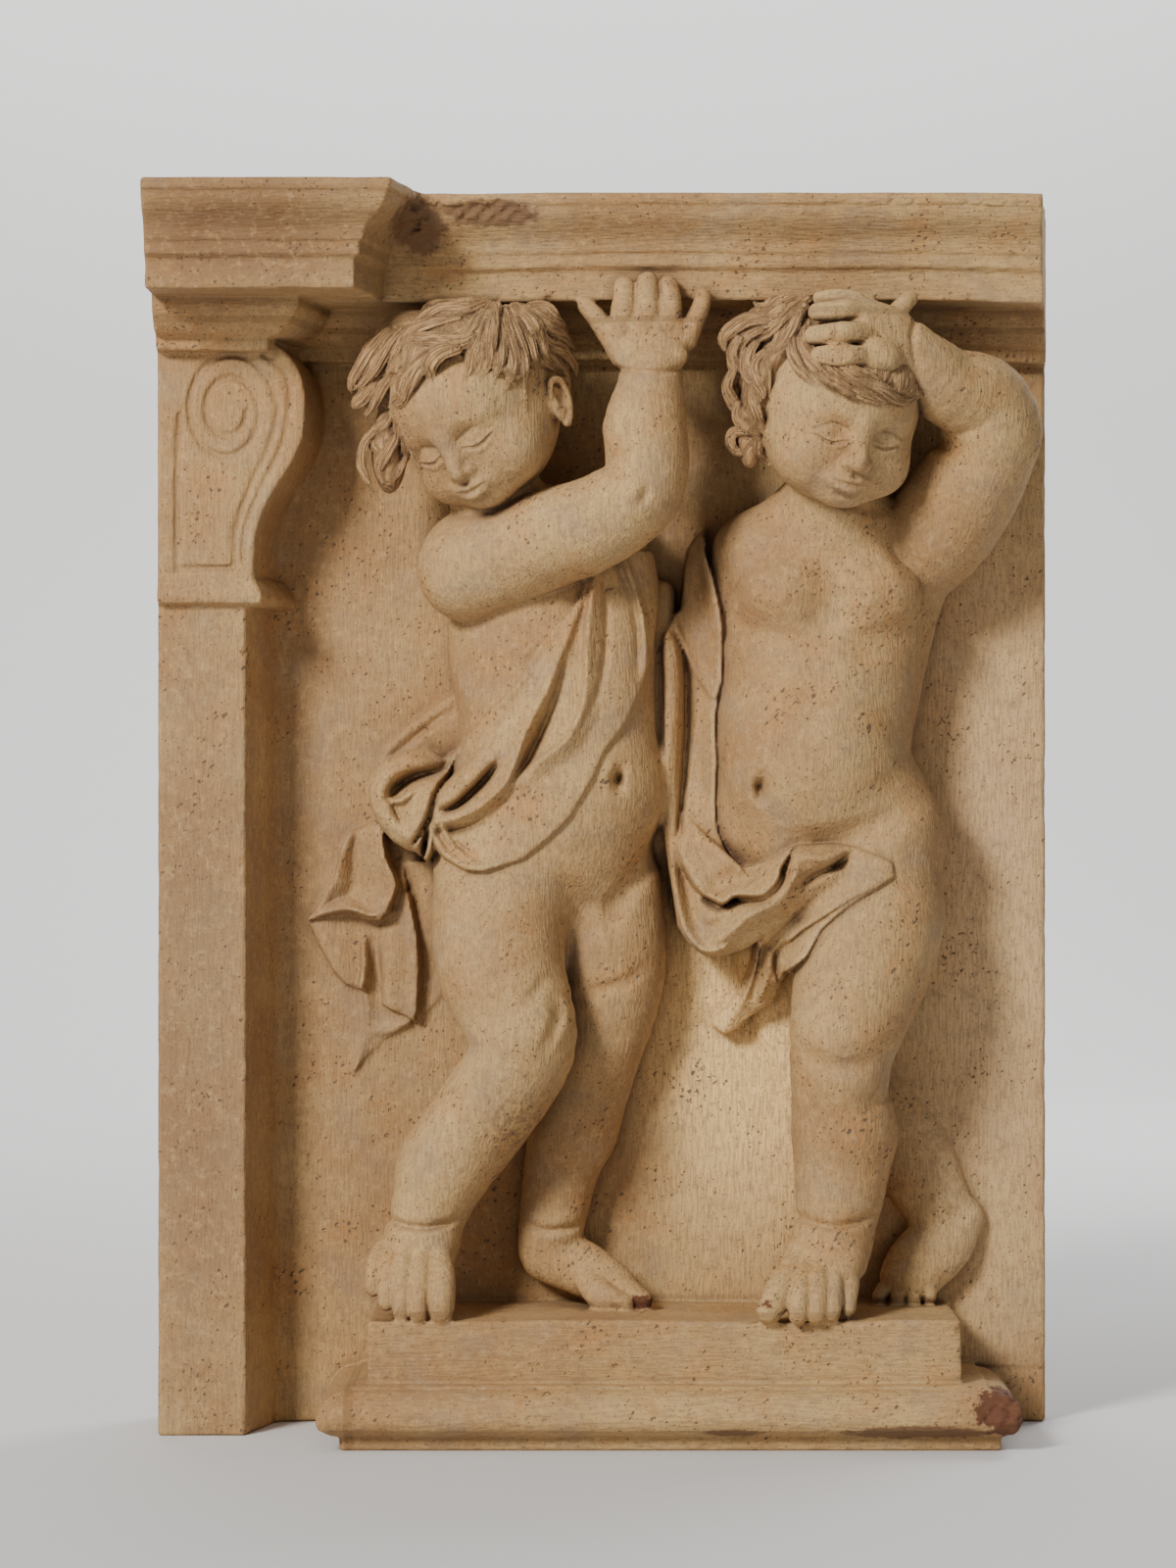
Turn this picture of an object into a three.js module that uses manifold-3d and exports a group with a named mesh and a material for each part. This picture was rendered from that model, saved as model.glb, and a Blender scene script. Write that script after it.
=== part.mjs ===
// A terracotta relief in which two putti stand on a plinth and carry an entablature. The
// entablature breaks forward over a scroll console and its pilaster. Millimetres, +Z up, the
// front faces -Y, and the origin is the middle of the bounding box's underside.
import * as THREE from 'three';
import { mergeVertices } from 'three/addons/utils/BufferGeometryUtils.js';
import Module from 'manifold-3d';

const wasm = await Module();
wasm.setup();

// Panel
const PANEL_WIDTH = 597;
const PANEL_HEIGHT = 820;
const PANEL_THICKNESS = 35;

// Pilaster and scroll console, on the panel's left flank
const PILASTER_WIDTH = 58;
const PILASTER_PROJECTION = 60;
const SIDE_SLOPE = 0.27; // its right-hand side spreads by this share of the depth towards the panel
const COLLAR_TOP = 569;
const COLLAR_HEIGHT = 18;
const COLLAR_PROJECTION = 7;
const CONSOLE_FOOT_WIDTH = 64;
const CONSOLE_HEAD_WIDTH = 75;
const CONSOLE_BULGE_WIDTH = 98;
const CONSOLE_PROJECTION = 62;
const VOLUTE_HALF_WIDTH = 33;
const VOLUTE_EYE_HALF_WIDTH = 12;
const VOLUTE_STRETCH = 1.3; // its height over its width
const VOLUTE_TURNS = 2;
const CONSOLE_MARGIN = 13; // from the flank and the collar to the carved frame
const CARVED_LINE_WIDTH = 4;
const CARVED_LINE_DEPTH = 2;

// Entablature, from the top down
const TOP_FILLET_HEIGHT = 8;
const CYMA_HEIGHT = 29;
const FILLET_HEIGHT = 9;
const FASCIA_HEIGHT = 22;
const BED_MOULD_HEIGHT = 24;
const BED_FILLET_HEIGHT = 8;
const CORONA_PROJECTION = 75;
const FILLET_STEP = 4;
const CYMA_REACH = 21;
const BED_MOULD_PROJECTION = 36;
const BED_FILLET_PROJECTION = 14;
const RIGHT_END_DRAFT = 14; // the cornice's right end leans in by this much at its lip

// Plinth
const PLINTH_LEFT = 142;
const PLINTH_WIDTH = 388;
const PLINTH_HEIGHT = 82;
const PLINTH_PROJECTION = 105;
const BASE_MOULD_HEIGHT = 42;
const BASE_MOULD_REACH = 32;
const FOOT_FILLET_HEIGHT = 9;
const FOOT_FILLET_REACH = 17;
const RIGHT_REACH = 7; // the base moulding runs on this much further at its right-hand end

const SOFFIT = PANEL_HEIGHT - TOP_FILLET_HEIGHT - CYMA_HEIGHT - FILLET_HEIGHT - FASCIA_HEIGHT;
const BED_BOTTOM = SOFFIT - BED_MOULD_HEIGHT - BED_FILLET_HEIGHT;
const CORNICE_PROJECTION = CORONA_PROJECTION + FILLET_STEP + CYMA_REACH;

// Figures. Their tables are in millimetres of a figure FIGURE_NOMINAL high, and are scaled to the
// height between the plinth and the soffit. A station is [across from the plinth's middle, up from
// the plinth, forward from the panel, half-width, half-depth]; a round one leaves the last out.
const FIGURE_NOMINAL = 670;
const FIGURE_SCALE = (SOFFIT - PLINTH_HEIGHT) / FIGURE_NOMINAL;

// While it is built, the relief has x from the panel's left flank, y from the panel's face, and
// forward is -y.
const FORWARD = new THREE.Vector3(0, -1, 0);
const point = (across, up, forward) => new THREE.Vector3(across, -forward, up);
const onFigure = (across, up, forward) => point(
  PLINTH_LEFT + PLINTH_WIDTH / 2 + across * FIGURE_SCALE,
  PLINTH_HEIGHT + up * FIGURE_SCALE,
  forward * FIGURE_SCALE,
);

// Solids

function solid(geometry) {
  const bare = geometry.clone();
  for (const name of ['normal', 'uv']) bare.deleteAttribute(name);
  const merged = mergeVertices(bare, 1e-3);
  return new wasm.Manifold(new wasm.Mesh({
    numProp: 3,
    vertProperties: new Float32Array(merged.attributes.position.array),
    triVerts: new Uint32Array(merged.index.array),
  }));
}

const join = (solids) => solids.reduce((whole, next) => whole.add(next));

function block(across, width, bottom, height, back, front) {
  const geometry = new THREE.BoxGeometry(width, front - back, height);
  geometry.translate(across + width / 2, -(front + back) / 2, bottom + height / 2);
  return solid(geometry);
}

// A plan outline of [across, forward] points, raised from bottom to top.
function raised(outline, bottom, top) {
  const shape = new THREE.Shape(outline.map(([across, forward]) => new THREE.Vector2(across, -forward)));
  const geometry = new THREE.ExtrudeGeometry(shape, { depth: top - bottom, bevelEnabled: false });
  return solid(geometry.translate(0, 0, bottom));
}

// A front outline, as a shape of [across, up], from the back plane to the front plane.
function extruded(shape, back, front) {
  const options = { depth: front - back, bevelEnabled: false, curveSegments: 8 };
  const geometry = new THREE.ExtrudeGeometry(shape, options);
  return geometry.rotateX(Math.PI / 2).translate(0, -back, 0);
}

const cutOut = (shape, back, front) => solid(extruded(shape, back, front));

// A side outline of [forward, up] points, run across from left to right.
function run(outline, left, right) {
  const shape = new THREE.Shape(outline.map(([forward, up]) => new THREE.Vector2(-forward, up)));
  const geometry = new THREE.ExtrudeGeometry(shape, { depth: right - left, bevelEnabled: false });
  const turned = new THREE.Matrix4().makeBasis(
    new THREE.Vector3(0, 1, 0),
    new THREE.Vector3(0, 0, 1),
    new THREE.Vector3(1, 0, 0),
  );
  return solid(geometry.applyMatrix4(turned).translate(left, 0, 0));
}

// Spreads the right-hand side of something that runs back from a front plane.
function splayed(geometry, middle, front, slope) {
  const corner = geometry.attributes.position;
  for (let i = 0; i < corner.count; i += 1) {
    const spread = slope * (front + corner.getY(i));
    if (corner.getX(i) > middle) corner.setX(i, corner.getX(i) + spread);
  }
  return geometry;
}

// A moulding mitred round a block. The profile is a list of [reach, up]. Its left and right
// returns reach as far as the front, or a little further if they are given an extra reach.
function mitred(profile, left, width, projection, { leftReturn = true, slope = 0, extraRight = 0 }) {
  const widest = Math.max(...profile.map(([reach]) => reach));
  const [low, high] = [profile[0][1], profile.at(-1)[1]];
  const front = run(
    [...profile.map(([reach, up]) => [projection + reach, up]), [-1, high], [-1, low]],
    left - widest,
    left + width + widest * 2,
  );
  const right = (reach) => left + width + extraRight + reach * (1 + slope);
  const side = new THREE.Shape([
    ...profile.map(([reach, up]) => new THREE.Vector2(right(reach), up)),
    ...profile.toReversed().map(([reach, up]) => new THREE.Vector2(left - (leftReturn ? reach : 0), up)),
  ]);
  const depth = projection + widest + 1;
  const geometry = new THREE.ExtrudeGeometry(side, { depth, bevelEnabled: false });
  geometry.rotateX(Math.PI / 2).translate(0, 1, 0);
  return front.intersect(solid(splayed(geometry, left + width / 2, projection, slope)));
}

// A smooth body swept through stations, with domed ends. Its sections are ellipses, whose
// half-width lies across the line of sight and whose half-depth lies along it.
function sweep(stations, { sides = 8, steps = 1, place = onFigure, swell = 0, toward = FORWARD } = {}) {
  const spine = new THREE.CatmullRomCurve3(stations.map(([a, u, f]) => place(a, u, f)));
  const scale = place(0, 0, 1).distanceTo(place(0, 0, 0));
  const girths = stations.map(([, , , wide, deep = wide]) => new THREE.Vector3(
    scale * (wide + swell),
    scale * (deep + swell),
    0,
  ));
  const girth = new THREE.CatmullRomCurve3(girths);
  const count = (stations.length - 1) * steps;
  const rings = [];
  const ringAt = (t, along, share) => {
    const tangent = spine.getTangent(t);
    const side = new THREE.Vector3().crossVectors(tangent, toward).normalize();
    const face = new THREE.Vector3().crossVectors(side, tangent).normalize();
    const size = girth.getPoint(t);
    const centre = spine.getPoint(t).addScaledVector(tangent, along * Math.min(size.x, size.y));
    const ring = [];
    for (let i = 0; i < sides; i += 1) {
      const angle = (2 * Math.PI * i) / sides;
      ring.push(centre.clone()
        .addScaledVector(side, share * size.x * Math.cos(angle))
        .addScaledVector(face, share * size.y * Math.sin(angle)));
    }
    return ring;
  };
  rings.push(ringAt(0, -0.7, 0.7));
  for (let i = 0; i <= count; i += 1) rings.push(ringAt(i / count, 0, 1));
  rings.push(ringAt(1, 0.7, 0.7));
  const reach = (t) => Math.min(girth.getPoint(t).x, girth.getPoint(t).y);
  const start = spine.getPoint(0).addScaledVector(spine.getTangent(0), -reach(0));
  const end = spine.getPoint(1).addScaledVector(spine.getTangent(1), reach(1));
  const corners = [start, ...rings.flat(), end];
  const faces = [];
  const corner = (ring, i) => 1 + ring * sides + (i % sides);
  for (let i = 0; i < sides; i += 1) {
    faces.push(0, corner(0, i), corner(0, i + 1));
    faces.push(corners.length - 1, corner(rings.length - 1, i + 1), corner(rings.length - 1, i));
    for (let ring = 0; ring + 1 < rings.length; ring += 1) {
      const [a, b] = [corner(ring, i), corner(ring, i + 1)];
      const [c, d] = [corner(ring + 1, i), corner(ring + 1, i + 1)];
      faces.push(a, d, b, a, c, d);
    }
  }
  const geometry = new THREE.BufferGeometry().setFromPoints(corners).setIndex(faces);
  return solid(geometry);
}

// Architecture

function entablatureProfile() {
  const lip = CORONA_PROJECTION + FILLET_STEP;
  const cymaBottom = SOFFIT + FASCIA_HEIGHT + FILLET_HEIGHT;
  const cyma = [];
  for (let i = 0; i <= 6; i += 1) {
    const share = i / 6;
    const wave = share - Math.sin(2 * Math.PI * share) / 9;
    cyma.push([lip + CYMA_REACH * wave, cymaBottom + CYMA_HEIGHT * share]);
  }
  return [
    [BED_FILLET_PROJECTION, BED_BOTTOM],
    [BED_FILLET_PROJECTION, BED_BOTTOM + BED_FILLET_HEIGHT],
    [BED_FILLET_PROJECTION + 8, BED_BOTTOM + BED_FILLET_HEIGHT + 2],
    [BED_MOULD_PROJECTION, SOFFIT - 8],
    [BED_MOULD_PROJECTION, SOFFIT],
    [CORONA_PROJECTION, SOFFIT],
    [CORONA_PROJECTION, SOFFIT + FASCIA_HEIGHT],
    [lip, SOFFIT + FASCIA_HEIGHT + 2],
    [lip, cymaBottom - 1],
    ...cyma,
    [CORNICE_PROJECTION, PANEL_HEIGHT],
  ];
}

function entablature() {
  const profile = entablatureProfile();
  const outline = [...profile, [-1, PANEL_HEIGHT], [-1, BED_BOTTOM]];
  const draft = raised([
    [PANEL_WIDTH, 0],
    [PANEL_WIDTH + 1, 0],
    [PANEL_WIDTH + 1, CORNICE_PROJECTION + 1],
    [PANEL_WIDTH - RIGHT_END_DRAFT, CORNICE_PROJECTION + 1],
  ], 0, PANEL_HEIGHT + 1);
  const returns = { leftReturn: false, slope: SIDE_SLOPE };
  return run(outline, 0, PANEL_WIDTH).subtract(draft)
    .add(mitred(profile, 0, PILASTER_WIDTH + 2, PILASTER_PROJECTION, returns));
}

function pilaster() {
  return raised([
    [0, -1],
    [PILASTER_WIDTH + SIDE_SLOPE * PILASTER_PROJECTION, -1],
    [PILASTER_WIDTH, PILASTER_PROJECTION],
    [0, PILASTER_PROJECTION],
  ], 0, SOFFIT);
}

function collar() {
  const bottom = COLLAR_TOP - COLLAR_HEIGHT;
  const profile = [
    [0, bottom],
    [COLLAR_PROJECTION, bottom + 1],
    [COLLAR_PROJECTION, COLLAR_TOP - 6],
    [1, COLLAR_TOP],
  ];
  const returns = { leftReturn: false, slope: SIDE_SLOPE };
  return mitred(profile, 0, CONSOLE_FOOT_WIDTH - 2, PILASTER_PROJECTION, returns);
}

// The console's face: straight on the left, and an S-curve on the right.
function consoleShape() {
  const top = BED_BOTTOM + BED_FILLET_HEIGHT - 1;
  const height = top - COLLAR_TOP;
  const bulge = COLLAR_TOP + 0.72 * height;
  const shape = new THREE.Shape();
  shape.moveTo(0, COLLAR_TOP - 1);
  shape.lineTo(CONSOLE_FOOT_WIDTH, COLLAR_TOP - 1);
  shape.lineTo(CONSOLE_FOOT_WIDTH, COLLAR_TOP + 0.08 * height);
  shape.bezierCurveTo(
    CONSOLE_FOOT_WIDTH,
    COLLAR_TOP + 0.42 * height,
    CONSOLE_BULGE_WIDTH,
    COLLAR_TOP + 0.42 * height,
    CONSOLE_BULGE_WIDTH,
    bulge,
  );
  shape.bezierCurveTo(CONSOLE_BULGE_WIDTH, bulge + 0.16 * height, CONSOLE_HEAD_WIDTH + 14, top - 8, CONSOLE_HEAD_WIDTH, top);
  shape.lineTo(0, top);
  return shape;
}

// The carved line that frames the console's foot and winds up into the volute.
function consoleLines() {
  const front = (across, up) => [across, up, CONSOLE_PROJECTION, CARVED_LINE_WIDTH / 2, CARVED_LINE_DEPTH];
  const height = BED_BOTTOM - COLLAR_TOP;
  const foot = COLLAR_TOP + CONSOLE_MARGIN / 2;
  const centre = [CONSOLE_BULGE_WIDTH / 2 - 2, COLLAR_TOP + 0.74 * height];
  const corner = CONSOLE_FOOT_WIDTH - CONSOLE_MARGIN;
  const winding = [
    front(corner, foot + 2),
    front(corner + 3, COLLAR_TOP + 0.24 * height),
    front(corner + 14, COLLAR_TOP + 0.42 * height),
  ];
  const count = 20;
  for (let i = 0; i <= count; i += 1) {
    const angle = (2 * Math.PI * VOLUTE_TURNS * i) / count;
    const size = VOLUTE_HALF_WIDTH + (VOLUTE_EYE_HALF_WIDTH - VOLUTE_HALF_WIDTH) * (i / count) ** 0.9;
    winding.push(front(
      centre[0] + size * Math.cos(angle),
      centre[1] + size * VOLUTE_STRETCH * Math.sin(angle),
    ));
  }
  return [
    winding,
    [front(CONSOLE_MARGIN, centre[1] - 10), front(CONSOLE_MARGIN, foot)],
    [front(CONSOLE_MARGIN, foot), front(corner, foot + 2)],
  ];
}

function scrollConsole() {
  const geometry = extruded(consoleShape(), -1, CONSOLE_PROJECTION);
  const body = solid(splayed(geometry, CONSOLE_FOOT_WIDTH / 2, CONSOLE_PROJECTION, SIDE_SLOPE / 2));
  const grooves = consoleLines().map((line) => sweep(line, { sides: 3, place: point }));
  return body.subtract(join(grooves));
}

function plinth() {
  const profile = [
    [FOOT_FILLET_REACH, 0],
    [FOOT_FILLET_REACH, FOOT_FILLET_HEIGHT],
    [FOOT_FILLET_REACH + 4, FOOT_FILLET_HEIGHT + 2],
  ];
  const swellBottom = FOOT_FILLET_HEIGHT + 3;
  for (let i = 0; i <= 5; i += 1) {
    const angle = (Math.PI / 2) * (i / 5);
    profile.push([
      10 + (BASE_MOULD_REACH - 10) * Math.cos(angle * 0.95),
      swellBottom + (BASE_MOULD_HEIGHT - swellBottom) * (0.2 + 0.8 * Math.sin(angle)),
    ]);
  }
  return block(PLINTH_LEFT, PLINTH_WIDTH, 0, PLINTH_HEIGHT, -1, PLINTH_PROJECTION)
    .add(mitred(profile, PLINTH_LEFT, PLINTH_WIDTH, PLINTH_PROJECTION, { extraRight: RIGHT_REACH }));
}

// Heads. A head's own axes are x to the viewer's right, y up and z forward, from the skull's
// middle, and a turn is given in degrees: yaw to the viewer's right, pitch down, roll to the left.

function headPlacer([across, up, forward], [yaw, pitch, roll]) {
  const rad = THREE.MathUtils.degToRad;
  const turn = new THREE.Matrix4().makeRotationZ(rad(roll))
    .multiply(new THREE.Matrix4().makeRotationY(rad(yaw)))
    .multiply(new THREE.Matrix4().makeRotationX(rad(pitch)));
  return (x, y, z) => {
    const p = new THREE.Vector3(x, y, z).applyMatrix4(turn);
    return onFigure(across + p.x, up + p.y, forward + p.z);
  };
}

function ellipsoid(place, [x, y, z], [rx, ry, rz], width = 10, height = 8) {
  const geometry = new THREE.SphereGeometry(1, width, height);
  const corner = geometry.attributes.position;
  for (let i = 0; i < corner.count; i += 1) {
    const p = place(x + rx * corner.getX(i), y + ry * corner.getY(i), z + rz * corner.getZ(i));
    corner.setXYZ(i, p.x, p.y, p.z);
  }
  return solid(geometry);
}

// A head is one surface seen from a point inside it: in each direction it reaches as far as the
// skull, the jaw or a feature does, with the steps between them softened.
const HEAD_SEEN_FROM = new THREE.Vector3(0, -14, 0);
const HEAD_COLUMNS = 24;
const HEAD_ROWS = 16;
const FEATURE_SOFTNESS = 1.4;
const SKULL = { at: [0, 0, 0], size: [54, 57, 60] };
const JAW = { at: [0, -26, 10], size: [44, 42, 42] };
const MIDDLE_FEATURES = [
  { at: [0, -57, 42], size: [15, 12, 14] }, // chin
  { at: [0, -16, 48], size: [7, 15, 10] }, // bridge of the nose
  { at: [0, -31, 58], size: [10, 7, 10] }, // tip of the nose
  { at: [0, -44, 50], size: [15, 4, 10] }, // upper lip
  { at: [0, -52, 48], size: [12, 4, 10] }, // lower lip
];
const PAIRED_FEATURES = [
  { at: [25, -36, 31], size: [20, 20, 21] }, // cheek
  { at: [20, -13, 42], size: [11, 6, 12] }, // eye
  { at: [19, 0, 44], size: [15, 5, 13] }, // brow
];
const HAIR_DEPTH = 15;
const LOCK_COUNT = 13;
const LOCK_SWING = 0.45; // how far the locks curl round the skull on their way down, in radians
const HAIRLINE_FRONT = 46; // degrees down from the crown
const HAIRLINE_BACK = 128;

function reachOf({ at, size }, side, direction) {
  const offset = HEAD_SEEN_FROM.clone().sub(new THREE.Vector3(side * at[0], at[1], at[2]));
  const radii = new THREE.Vector3(...size);
  const o = offset.divide(radii);
  const d = direction.clone().divide(radii);
  const half = o.dot(d) / d.dot(d);
  const under = half * half - (o.dot(o) - 1) / d.dot(d);
  return under < 0 ? 0 : Math.sqrt(under) - half;
}

function faceReach(direction) {
  const reaches = [reachOf(SKULL, 0, direction), reachOf(JAW, 0, direction)];
  for (const feature of MIDDLE_FEATURES) reaches.push(reachOf(feature, 0, direction));
  for (const feature of PAIRED_FEATURES) {
    reaches.push(reachOf(feature, -1, direction), reachOf(feature, 1, direction));
  }
  const sum = reaches.reduce((total, reach) => total + Math.exp(reach / FEATURE_SOFTNESS), 0);
  return FEATURE_SOFTNESS * Math.log(sum);
}

// Locks run down from the crown, curl towards the parting's far side, and end at the hairline.
function hairLift(polar, azimuth, parting) {
  const facing = THREE.MathUtils.smoothstep(Math.cos(azimuth), -0.1, 0.75);
  const line = THREE.MathUtils.degToRad(HAIRLINE_BACK + (HAIRLINE_FRONT - HAIRLINE_BACK) * facing);
  const swing = azimuth - parting * LOCK_SWING * (polar + 0.35 * Math.sin(4 * polar));
  const ripple = Math.cos(LOCK_COUNT * swing);
  const edge = line + 0.14 * ripple;
  const cover = 1 - THREE.MathUtils.smoothstep(polar, edge, edge + 0.2);
  return HAIR_DEPTH * cover * (0.55 + 0.45 * ripple * Math.sin(polar));
}

function head({ at, turn, parting, curls }) {
  const place = headPlacer(at, turn);
  const geometry = new THREE.SphereGeometry(1, HEAD_COLUMNS, HEAD_ROWS);
  const corner = geometry.attributes.position;
  const rowFocus = THREE.MathUtils.degToRad(112);
  for (let i = 0; i < corner.count; i += 1) {
    const rowAngle = Math.acos(THREE.MathUtils.clamp(corner.getY(i), -1, 1));
    const columnAngle = Math.atan2(corner.getX(i), corner.getZ(i));
    // rows and columns draw together over the face
    const polar = rowAngle - 0.2 * (Math.sin(2 * (rowAngle - rowFocus)) + Math.sin(2 * rowFocus));
    const azimuth = columnAngle - 0.45 * Math.sin(columnAngle);
    const direction = new THREE.Vector3(
      Math.sin(polar) * Math.sin(azimuth),
      Math.cos(polar),
      Math.sin(polar) * Math.cos(azimuth),
    );
    const reach = faceReach(direction) + hairLift(polar, azimuth, parting);
    const { x, y, z } = direction.multiplyScalar(reach).add(HEAD_SEEN_FROM);
    const p = place(x, y, z);
    corner.setXYZ(i, p.x, p.y, p.z);
  }
  const pieces = [solid(geometry)];
  for (const side of [-1, 1]) pieces.push(ellipsoid(place, [side * 53, -22, -2], [6, 15, 9], 5, 5));
  for (const curl of curls) pieces.push(sweep(curl, { sides: 4 }));
  return join(pieces);
}

// Figures

const LEFT_PUTTO = {
  torso: [
    [-96, 522, 34, 38, 36], [-82, 496, 24, 64, 46], [-76, 448, 20, 70, 56], [-72, 400, 22, 68, 58],
    [-69, 355, 24, 71, 64], [-74, 314, 22, 71, 58], [-79, 288, 20, 66, 48],
  ],
  masses: [
    [[-104, 515, 40, 34], [-116, 560, 60, 32]],
    [[-30, 520, 30, 26, 24], [-34, 470, 24, 34, 36], [-40, 400, 30, 40, 46], [-36, 350, 36, 38, 46]],
  ],
  arm: [
    [-129, 493, 54, 35], [-100, 504, 66, 34], [-72, 514, 78, 33], [-42, 524, 86, 31],
    [-15, 543, 88, 29], [-11, 565, 88, 28], [-13, 584, 86, 27], [-10, 606, 84, 23], [-8, 622, 83, 19],
  ],
  palm: [[-8, 622, 82, 19, 15], [-8, 640, 82, 26, 12], [-8, 652, 84, 27, 10]],
  fingers: [
    [[-26, 650, 84, 7.5], [-26, 677, 82, 7]],
    [[-10, 651, 85, 7.5], [-11, 678, 82, 7]],
    [[5, 650, 84, 7], [4, 677, 82, 6.5]],
    [[15, 645, 82, 6.5], [24, 666, 80, 6]],
    [[-28, 640, 80, 9], [-38, 652, 78, 7], [-50, 665, 76, 6]],
  ],
  legs: [
    [
      [-100, 300, 34, 50, 46], [-109, 262, 50, 46, 44], [-107, 226, 64, 43, 42], [-92, 184, 76, 38, 36],
      [-106, 155, 73, 36, 34], [-128, 124, 66, 33, 32], [-146, 96, 60, 31, 30], [-156, 68, 58, 27, 26],
      [-160, 50, 60, 25, 25],
    ],
    [
      [-42, 295, 22, 40, 34], [-38, 250, 22, 41, 36], [-37, 215, 22, 38, 34], [-46, 170, 18, 32, 30],
      [-60, 125, 15, 30, 27], [-71, 80, 16, 25, 24], [-75, 50, 18, 23, 22],
    ],
  ],
  feet: [
    { instep: [[-160, 46, 60, 26], [-164, 32, 74, 27, 18], [-166, 22, 86, 26, 13]], toward: [0, 0, 1] },
    { instep: [[-77, 36, 16, 20], [-56, 27, 24, 19, 16], [-36, 15, 34, 15, 13], [-22, 8, 42, 11, 8]] },
  ],
  toes: [
    [[-150, 24, 86, 9], [-147, 12, 98, 9]],
    [[-163, 25, 88, 7], [-163, 12, 98, 6.5]],
    [[-172, 26, 85, 6.5], [-173, 15, 94, 6]],
    [[-180, 29, 80, 6], [-182, 20, 88, 5.5]],
    [[-187, 32, 74, 5.5], [-189, 26, 80, 5]],
    [[-24, 9, 42, 8], [-12, 6, 46, 6]],
    [[-32, 9, 44, 6], [-22, 4, 50, 5]],
    [[-40, 8, 44, 5.5], [-32, 3, 50, 4.5]],
  ],
  // The edge of the thin cloth that crosses the belly, from under the arm to the knot and back.
  clothEdge: [
    [-2, 500], [-5, 423], [-14, 393], [-42, 357], [-68, 326], [-94, 300], [-114, 297], [-139, 305],
    [-150, 330], [-142, 359], [-114, 374], [-85, 398], [-60, 440], [-50, 500],
  ],
  folds: [
    [[-44, 496, 58, 9, 7], [-50, 424, 78, 7], [-60, 385, 86, 7], [-82, 364, 84, 7], [-104, 342, 78, 8]],
    [[-52, 490, 60, 5], [-67, 430, 76, 6], [-80, 400, 82, 8], [-95, 358, 84, 12, 9], [-116, 338, 78, 14, 9], [-144, 322, 64, 10]],
    [[-28, 495, 56, 8, 6], [-22, 450, 62, 8, 6], [-26, 400, 72, 6, 5]],
    [[-12, 490, 44, 7, 6], [-6, 440, 52, 6, 6], [-10, 410, 58, 4]],
    [[-118, 362, 74, 12, 8], [-140, 350, 66, 10, 8], [-152, 336, 62, 7]],
    [[-148, 360, 58, 8], [-168, 369, 58, 9], [-187, 362, 52, 9], [-192, 346, 50, 9], [-180, 326, 54, 10], [-164, 308, 58, 8]],
    [[-156, 346, 62, 9], [-168, 330, 62, 10, 8], [-160, 306, 60, 7]],
    [[-148, 412, 22, 8, 7], [-170, 396, 26, 10, 8], [-186, 374, 38, 8]],
  ],
  // The ends of the cloth hang in layers: pleats cut to an outline seen from the front.
  tails: [
    {
      pleats: [
        [[-186, 338, 34, 12, 14], [-208, 306, 20, 14, 10], [-232, 258, 8, 22, 10]],
        [[-174, 338, 34, 8, 14], [-180, 300, 20, 11, 12], [-206, 250, 8, 24, 9]],
      ],
      outline: [
        [-188, 330], [-214, 319], [-224, 302], [-232, 282], [-240, 260], [-219, 266], [-203, 262],
        [-201, 257], [-188, 260], [-177, 280], [-173, 300], [-179, 326],
      ],
    },
    {
      pleats: [
        [[-230, 272, 2, 18, 10], [-212, 240, 2, 18, 9], [-206, 200, 6, 13, 11]],
        [[-178, 300, 6, 16, 11], [-176, 244, 2, 16, 10], [-174, 186, 4, 20, 10]],
      ],
      outline: [
        [-232, 262], [-224, 238], [-216, 219], [-206, 216], [-193, 204], [-169, 190], [-162, 210],
        [-163, 250], [-174, 290], [-200, 280],
      ],
    },
    {
      pleats: [[[-176, 214, 0, 22, 7], [-194, 196, 0, 18, 7], [-214, 166, 0, 12, 6]]],
      outline: [[-206, 220], [-205, 190], [-213, 170], [-196, 184], [-169, 192], [-180, 224]],
    },
  ],
  head: {
    at: [-123, 606, 72],
    turn: [-34, 15, 18],
    parting: -1,
    curls: [
      [[-172, 622, 74, 9], [-180, 600, 84, 9], [-176, 578, 92, 7]],
      [[-180, 614, 56, 9], [-190, 590, 66, 9], [-184, 566, 76, 7]],
      [[-140, 650, 98, 8], [-156, 640, 108, 8], [-168, 622, 104, 6]],
      [[-110, 652, 100, 8], [-126, 636, 116, 8], [-138, 628, 116, 6]],
    ],
  },
};

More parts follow.
